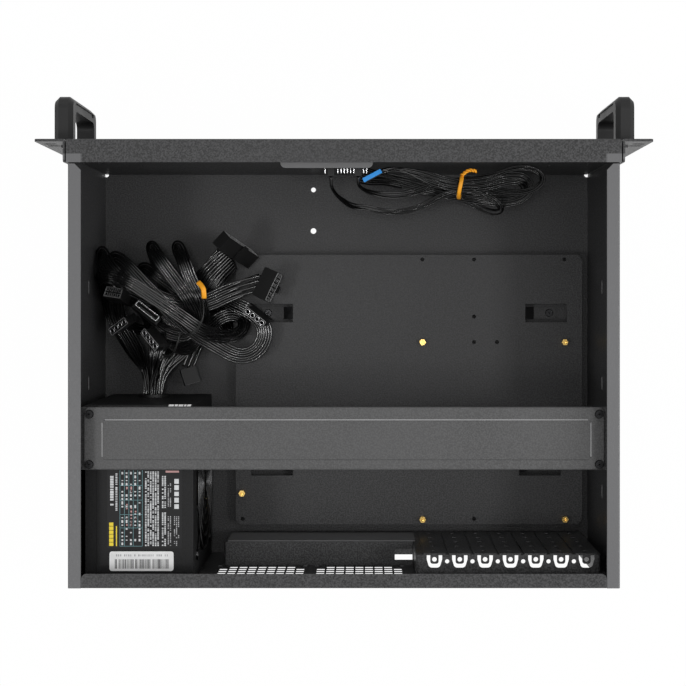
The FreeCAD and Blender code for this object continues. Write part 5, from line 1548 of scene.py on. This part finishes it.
SQUARE_PLUGS = (
    Plug((99.4, -87.4, 45.0), (-0.68, -0.72, 0.08), (0.42, -0.3, 0.86), 12),
    Plug((73.0, -65.0, 44.0), (-0.80, 0.35, 0.48), (0.50, 0.86, 0.0), 6),
    Plug((189.0, -51.0, 69.0), (0.40, -0.35, 0.85), (-0.96, 0.28, 0.0), 4),
    Plug((139.0, 10.0, 20.0), (-0.3, 0.95, 0.0), (0.9, 0.3, 0.2), 3),
)
ROUND_PLUGS = (
    Plug((157.0, -17.0, 69.0), (0.50, 0.05, 0.86), (-0.74, 0.68, 0.1), 4, 1, 5.08, 1.9),
    Plug((186.0, -30.0, 57.0), (0.45, 0.2, 0.87), (-0.85, -0.55, 0.2), 4, 1, 5.08, 1.9),
    Plug((74.5, -37.5, 39.5), (0.25, 0.20, 0.95), (-0.8, 0.6, 0.0), 4, 1, 5.08, 1.9),
)
DISK_PLUG = Seat((0.1678, -0.0368, 0.0760), (-0.20, -0.25, 0.95), (-0.79, 0.62, 0.0))
BLUE_STRIP = Seat((-0.0222, -0.1490, 0.1375), (0.0, 0.0, 1.0), (0.88, 0.47, 0.0))


@dataclass(frozen=True)
class PlugFittings:
    """The plugs' rims and painted edge highlights, the blue strip housing and the header's sleeves,
    in mm.

    Attributes:
        square_wire: A square rim's thickness as a share of its half width.
        round_wire: A round rim's thickness as a share of its half width.
        edge: The radius of the lit edges of square, round and disk plugs.
        margin: How far the edges lie outside or inside the outer contacts.
        round_half: Half a round plug's height.
        disk: Half the disk plug's width, half its height, and how far out its mouth is.
        strip: Half the blue strip's length and height.
        strip_ends: The heights of its underside and its top.
        strip_corner: The radius of its corners.
        sleeve: The radius of a sleeve.
        sleeved: The cables that have a sleeve at their plug.
        covered: How many of a cable's last points its sleeve covers.
    """

    square_wire: float = 0.10
    round_wire: float = 0.20
    edge: Point = (0.22, 0.24, 0.28)
    margin: float = 0.1
    round_half: float = 3.0
    disk: Point = (10.9, 2.4, 15.0)
    strip: Range = (8.2, 1.75)
    strip_ends: Range = (-0.1, 5.2)
    strip_corner: float = 0.5
    sleeve: float = 1.7
    sleeved: tuple[str, ...] = ("switch_cable", "lamp_cable")
    covered: int = 7

    # Between the rings of a lit edge, in metres.
    STEP = 0.0008

    def build(self) -> None:
        """Makes every fitting."""
        square = [one for plug in SQUARE_PLUGS for one in plug.seats()]
        # Painted highlight: the square rims take a light grey that stands in for light on their
        # edges.
        rims("square_rims", square, 4, self.square_wire, "edge_highlight_paint")
        circles = [one for plug in ROUND_PLUGS for one in plug.seats()]
        rims("round_rims", circles, 18, self.round_wire, "tin")
        self.edges()
        self.blue_strip()
        self.sleeves()

    def edges(self) -> None:
        """Makes the edges round the plugs' mouths: painted highlights, and a tinned edge on the disk
        plug.
        """
        square, circle, slim = self.edge
        disk = Shell()
        self.mouth(disk, DISK_PLUG, self.disk, slim)
        disk.piece("disk_plug_edge", "plug_plastic", "tin")
        edges = Shell()
        for plug in ROUND_PLUGS:
            wide = plug.columns * plug.pitch / 2 + self.margin
            self.mouth(edges, plug.seat(), (wide, self.round_half, plug.TALL), circle)
        for plug in SQUARE_PLUGS:
            wide = plug.columns * plug.pitch / 2 - self.margin
            self.mouth(edges, plug.seat(), (wide, plug.pitch - self.margin, plug.TALL), square)
        # Painted highlight: these edges take a light grey that stands in for light on the plugs'
        # mouths.
        edges.piece("plug_edges", "plug_plastic", "edge_highlight_paint")

    @staticmethod
    def mouth(shell: Shell, place: Seat, size: Point, radius: float) -> None:
        """Adds the lit edge round one plug's mouth.

        Args:
            shell: The mesh that it goes into.
            place: The plug's seat.
            size: Half its width, half its height, and how far out its mouth is.
            radius: The edge's radius.
        """
        wide, high, out = size
        corners = ((-wide, -high), (wide, -high), (wide, high), (-wide, high), (-wide, -high))
        line = np.array([place.at(x, y, out) for x, y in corners])
        shell.tube(resampled(line, PlugFittings.STEP), radius * MM, 6)

    def blue_strip(self) -> None:
        """Makes the blue strip housing."""
        strip = Shell(smooth=False)
        length, height = self.strip
        low, high = self.strip_ends
        outline = rounded((-length, length), (-height, height), self.strip_corner)
        strip.slab(outline, low * MM, high * MM)
        strip.piece("blue_strip", "plug_plastic", "blue_housing", BLUE_STRIP.matrix())

    def sleeves(self) -> None:
        """Makes the sleeves round the wires at the header."""
        sleeves = Shell()
        for cable in CABLES:
            if cable.node in self.sleeved:
                sleeves.tube(cable.line()[-self.covered:], self.sleeve * MM, 12)
        sleeves.piece("header_sleeves", "cable_sheath", "grey_sheath")


@dataclass(frozen=True)
class ControlBoard:
    """The pins and small parts of the board behind the front, in millimetres.

    Attributes:
        row: How many pins a row has.
        pitch: The distance between pins.
        offset: How far a row is from the header's middle, as a share of the pitch.
        start: Where the rows begin along X.
        height: The height of the header's middle.
        plugs: Where the header's plugs are along X.
        clear: Half a plug's width with its clearance.
        pin: A pin's width and length.
        pads: The gilt pads' places along X and their widths.
        pad_size: Their size along Y and their height.
        parts: The pale parts' places along X, widths, and drops below the header.
        part_size: Their height and how far they stand out.
        inset: How deep pins, pads and parts begin, from the board's rear.
    """

    row: int = 14
    pitch: float = 2.54
    offset: float = 0.45
    start: float = -19.0
    height: float = 149.0
    plugs: Range = (10.6, -11.0)
    clear: float = 3.2
    pin: Range = (0.7, 5.6)
    pads: tuple[Range, ...] = ((-19.5, 5.0), (-6.0, 3.0), (4.0, 4.0), (17.5, 6.0), (27.0, 3.0))
    pad_size: Range = (1.2, 1.6)
    parts: tuple[Point, ...] = ((24.0, 5.0, 4.0), (-13.0, 4.0, 12.0), (3.0, 6.0, 13.0))
    part_size: Range = (4.0, 3.0)
    inset: Point = (5.5, 11.2, 10.8)

    BEHIND = (0.0, 1.0, 0.0)
    ACROSS = (1.0, 0.0, 0.0)
    ABOVE = (0.0, 0.0, 1.0)

    def build(self) -> None:
        """Makes the pins, the gilt pads and the pale parts."""
        rear, top = (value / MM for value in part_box("module_board")[1][1:])
        pins = [self.stud(x, rear - self.inset[0], self.height + side * self.pitch, self.BEHIND,
                          (self.pin[0], *self.pin))
                for side in (-self.offset, self.offset) for x in self.columns()]
        studs("header_pins", pins, "zinc_plate", "tin")
        pads = [self.stud(x, rear - self.inset[1], top - self.pad_size[0], self.ABOVE,
                          (wide, *self.pad_size)) for x, wide in self.pads]
        studs("edge_pads", pads, "brass", "gold")
        parts = [self.stud(x, rear - self.inset[2], self.height - drop, self.BEHIND,
                           (wide, *self.part_size)) for x, wide, drop in self.parts]
        studs("board_parts", parts, "zinc_plate", "pale_housing")

    def columns(self) -> list[float]:
        """Finds the header's columns that no plug covers, along X."""
        columns = [self.start + self.pitch * (i + 0.5) for i in range(self.row)]
        return [x for x in columns if min(abs(x - plug) for plug in self.plugs) > self.clear]

    def stud(self, x: float, y: float, z: float, out: Point, size: Point) -> Seat:
        """Gives the seat of a stud, all in millimetres."""
        return Seat((x * MM, y * MM, z * MM), out, self.ACROSS, tuple(side * MM for side in size))


# --- ties ---
@dataclass(frozen=True)
class Band:
    """A flat band or a thin wire along a smooth route.

    Attributes:
        points: The route's control points in millimetres.
        radius: Half its width.
        step: The distance between its rings.
        flat: Its thickness as a share of its width.
        sides: The sides of its section.
        closed: Whether the route comes back to its start.
    """

    points: tuple[Point, ...]
    radius: float
    step: float
    flat: float = 1.0
    sides: int = 12
    closed: bool = False

    # How far two twisted wires are from their middle, in their own radii.
    APART = 1.05

    def line(self) -> np.ndarray:
        """Reads the middle of the band."""
        return resampled(smooth_line(self.points, self.closed), self.step)

    def wrap(self, shell: Shell) -> None:
        """Adds the band to a mesh."""
        shell.tube(self.line(), self.radius, self.sides, self.flat)

    def twist(self, shell: Shell, turns: float) -> None:
        """Adds two wires of its size twisted round each other along the route.

        Args:
            shell: The mesh that they go into.
            turns: How often they go round.
        """
        line = self.line()
        side, up = carried_frame(unit(np.gradient(line, axis=0)))
        angle = np.linspace(0.0, 2.0 * math.pi * turns, len(line))
        for start in (0.0, math.pi):
            ring = turned(angle + start, side, up)
            shell.tube(line + self.radius * self.APART * ring, self.radius, self.sides)


@dataclass(frozen=True)
class Ties:
    """The loom's black strap, the bundle's orange twist, and their loose ends.

    Attributes:
        strap: The strap.
        strap_end: The strap's thin loose end.
        twist: The orange twist round the bundle.
        band: The orange band at the strap.
        twist_end: The twist's two twisted ends.
        turns: How often those go round each other.
    """

    strap: Band = Band((
        (122.0, -57.5, 74.0), (118.5, -51.0, 98.0), (116.6, -42.9, 101.0), (117.6, -33.8, 101.0),
        (121.5, -25.5, 100.5), (129.0, -20.5, 99.0), (138.0, -18.5, 90.0), (142.5, -18.0, 60.0),
        (141.0, -20.0, 25.0), (135.0, -31.0, 5.5), (126.0, -50.0, 6.5), (121.0, -59.0, 35.0),
    ), 0.0025, 0.0015, 0.32, closed=True)
    strap_end: Band = Band((
        (137.0, -23.0, 92.0), (139.5, -12.0, 92.0), (146.0, -1.0, 84.0), (153.0, -3.5, 78.0),
    ), 0.0008, 0.0015, sides=8)
    twist: Band = Band((
        (-95.6, -152.5, 116.0), (-95.0, -148.5, 124.5), (-93.5, -141.0, 125.0),
        (-92.5, -134.0, 118.0), (-93.5, -132.2, 104.0), (-95.0, -137.0, 92.0),
        (-96.0, -147.0, 91.5), (-96.5, -153.0, 100.0),
    ), 0.0016, 0.0012, 0.4, closed=True)
    band: Band = Band((
        (116.6, -51.0, 99.5), (116.4, -55.5, 102.2), (117.4, -60.5, 101.6), (121.8, -64.4, 97.5),
    ), 0.0021, 0.0010, 0.4)
    twist_end: Band = Band((
        (-95.4, -151.0, 121.5), (-98.5, -154.0, 123.5), (-103.0, -155.2, 123.0),
        (-107.0, -154.0, 121.0),
    ), 0.0008, 0.0006, sides=8)
    turns: float = 2.5

    def build(self) -> None:
        """Makes the strap and the orange pieces."""
        strap = Shell()
        self.strap.wrap(strap)
        self.strap_end.wrap(strap)
        strap.piece("loom_strap", "tie_plastic", "strap_web")
        orange = Shell()
        self.twist.wrap(orange)
        self.band.wrap(orange)
        self.twist_end.twist(orange, self.turns)
        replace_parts(orange.piece("orange_twists", "tie_plastic"), "twist_ties")


# --- lights, floor and camera ---
@dataclass(frozen=True)
class Lamp:
    """A square soft lamp that looks at a point.

    Attributes:
        name: Its name.
        place: Its place.
        size: Its width.
        watts: Its power.
        aim: The point.
    """

    name: str
    place: Point
    size: float
    watts: float
    aim: Point = (0.0, 0.0, 0.1)

    def build(self) -> None:
        """Adds the lamp."""
        data = bpy.data.lights.new(self.name, "AREA")
        data.size, data.energy = self.size, self.watts
        lamp = placed(self.name, data)
        lamp.location = self.place
        way = Vector(self.aim) - Vector(self.place)
        lamp.rotation_euler = way.to_track_quat("-Z", "Y").to_euler()


@dataclass(frozen=True)
class Studio:
    """A pale floor, plain soft light and the camera over the open top.

    Attributes:
        camera_place: The camera's place.
        focal_mm: Its focal length.
        sensor_mm: Its sensor's width.
        shift: The shift of its frame along both sides.
        clip: How far it sees.
        world_level: The level of the light from all round.
        floor_reach: Half the floor's width.
        floor_height: Its height.
        floor_tone: Its tone.
        floor_glow: How far it turns white towards the camera.
        lamps: The lamps.
    """

    camera_place: Point = (-0.0172, -0.0495, 1.432)
    focal_mm: float = 84.63
    sensor_mm: float = 36.0
    shift: Range = (-0.0335, -0.0627)
    clip: float = 20.0
    world_level: float = 0.57
    floor_reach: float = 4.0
    floor_height: float = -0.0004
    floor_tone: Colour = (0.85, 0.85, 0.85)
    floor_glow: float = 0.985
    lamps: tuple[Lamp, ...] = (
        Lamp("right_lamp", (-0.85, 0.05, 1.7), 0.24, 5.0),
        Lamp("left_lamp", (0.85, 0.3, 1.7), 0.24, 6.1),
        Lamp("front_lamp", (0.05, -1.5, 1.15), 0.4, 3.6, (0.0, 0.1, 0.05)),
        Lamp("low_lamp", (-1.3, 0.3, 0.9), 0.8, 8.4),
        Lamp("top_lamp", (0.05, -0.1, 1.95), 0.12, 2.6),
    )

    def camera(self) -> None:
        """Sets the camera straight above the case, with the front at the top of the frame."""
        data = bpy.data.cameras.new("top_camera")
        data.sensor_width = self.sensor_mm
        data.lens = self.focal_mm
        data.shift_x, data.shift_y = self.shift
        data.clip_end = self.clip
        camera = placed("top_camera", data)
        camera.location = self.camera_place
        camera.rotation_euler = (0.0, 0.0, math.pi)
        bpy.context.scene.camera = camera

    def world(self) -> None:
        """Lights the case evenly, and shows white to the camera and to reflections."""
        world = bpy.data.worlds.new("studio")
        bpy.context.scene.world = world
        world.use_nodes = True
        nodes = Nodes(world.node_tree)
        soft, seen = (nodes.get("ShaderNodeBackground", {"Color": WHITE, "Strength": level})
                      for level in (self.world_level, 1.0))
        nodes.mix("ShaderNodeOutputWorld", nodes.white_rays(), soft, seen)

    def floor(self) -> None:
        """Lays a pale floor that turns white towards the camera and keeps a faint shadow."""
        mesh = bpy.data.meshes.new("studio_floor")
        corners = ((-1, -1), (1, -1), (1, 1), (-1, 1))
        mesh.from_pydata([(x * self.floor_reach, y * self.floor_reach, self.floor_height)
                          for x, y in corners], [], [(0, 1, 2, 3)])
        graph = Graph("pale_floor")
        paper = graph.get("ShaderNodeBsdfDiffuse", {"Color": self.floor_tone})
        glow = graph.get("ShaderNodeEmission", {"Color": WHITE})
        share = graph.math("MULTIPLY", graph.white_rays(), self.floor_glow)
        graph.mix("ShaderNodeOutputMaterial", share, paper, glow)
        mesh.materials.append(graph.material)
        placed("studio_floor", mesh)

    def build(self) -> None:
        """Sets everything up."""
        bpy.context.scene.view_settings.view_transform = "Standard"
        self.camera()
        self.world()
        self.floor()
        for lamp in self.lamps:
            lamp.build()


# The cross beam takes a lighter copy of the case paint, as painted light on its top.
LOOKS = {"cross_beam": "painted_light_beam"}


def dress_nodes() -> None:
    """Gives every CAD node the finish of its slot, or its own one."""
    slots = {part["node"]: part["material_slot"] for part in frame["record"]["subparts"]}
    for name, thing in frame["nodes"].items():
        thing.data.materials.clear()
        thing.data.materials.append(finish(LOOKS.get(name, slots[name])))
        for face in thing.data.polygons:
            face.material_index = 0


def main() -> None:
    """Builds the scene."""
    Studio().build()
    dress_nodes()
    pieces = (Ties(), PlugFittings(), ControlBoard(), CaseScrews(), PanelHighlights(), SupplyLabels())
    for piece in (*CABLES, *pieces):
        piece.build()
        LOG.info("built %s", type(piece).__name__)


if __name__ == "__main__":
    logging.basicConfig(level=logging.INFO, format="%(message)s")
    main()
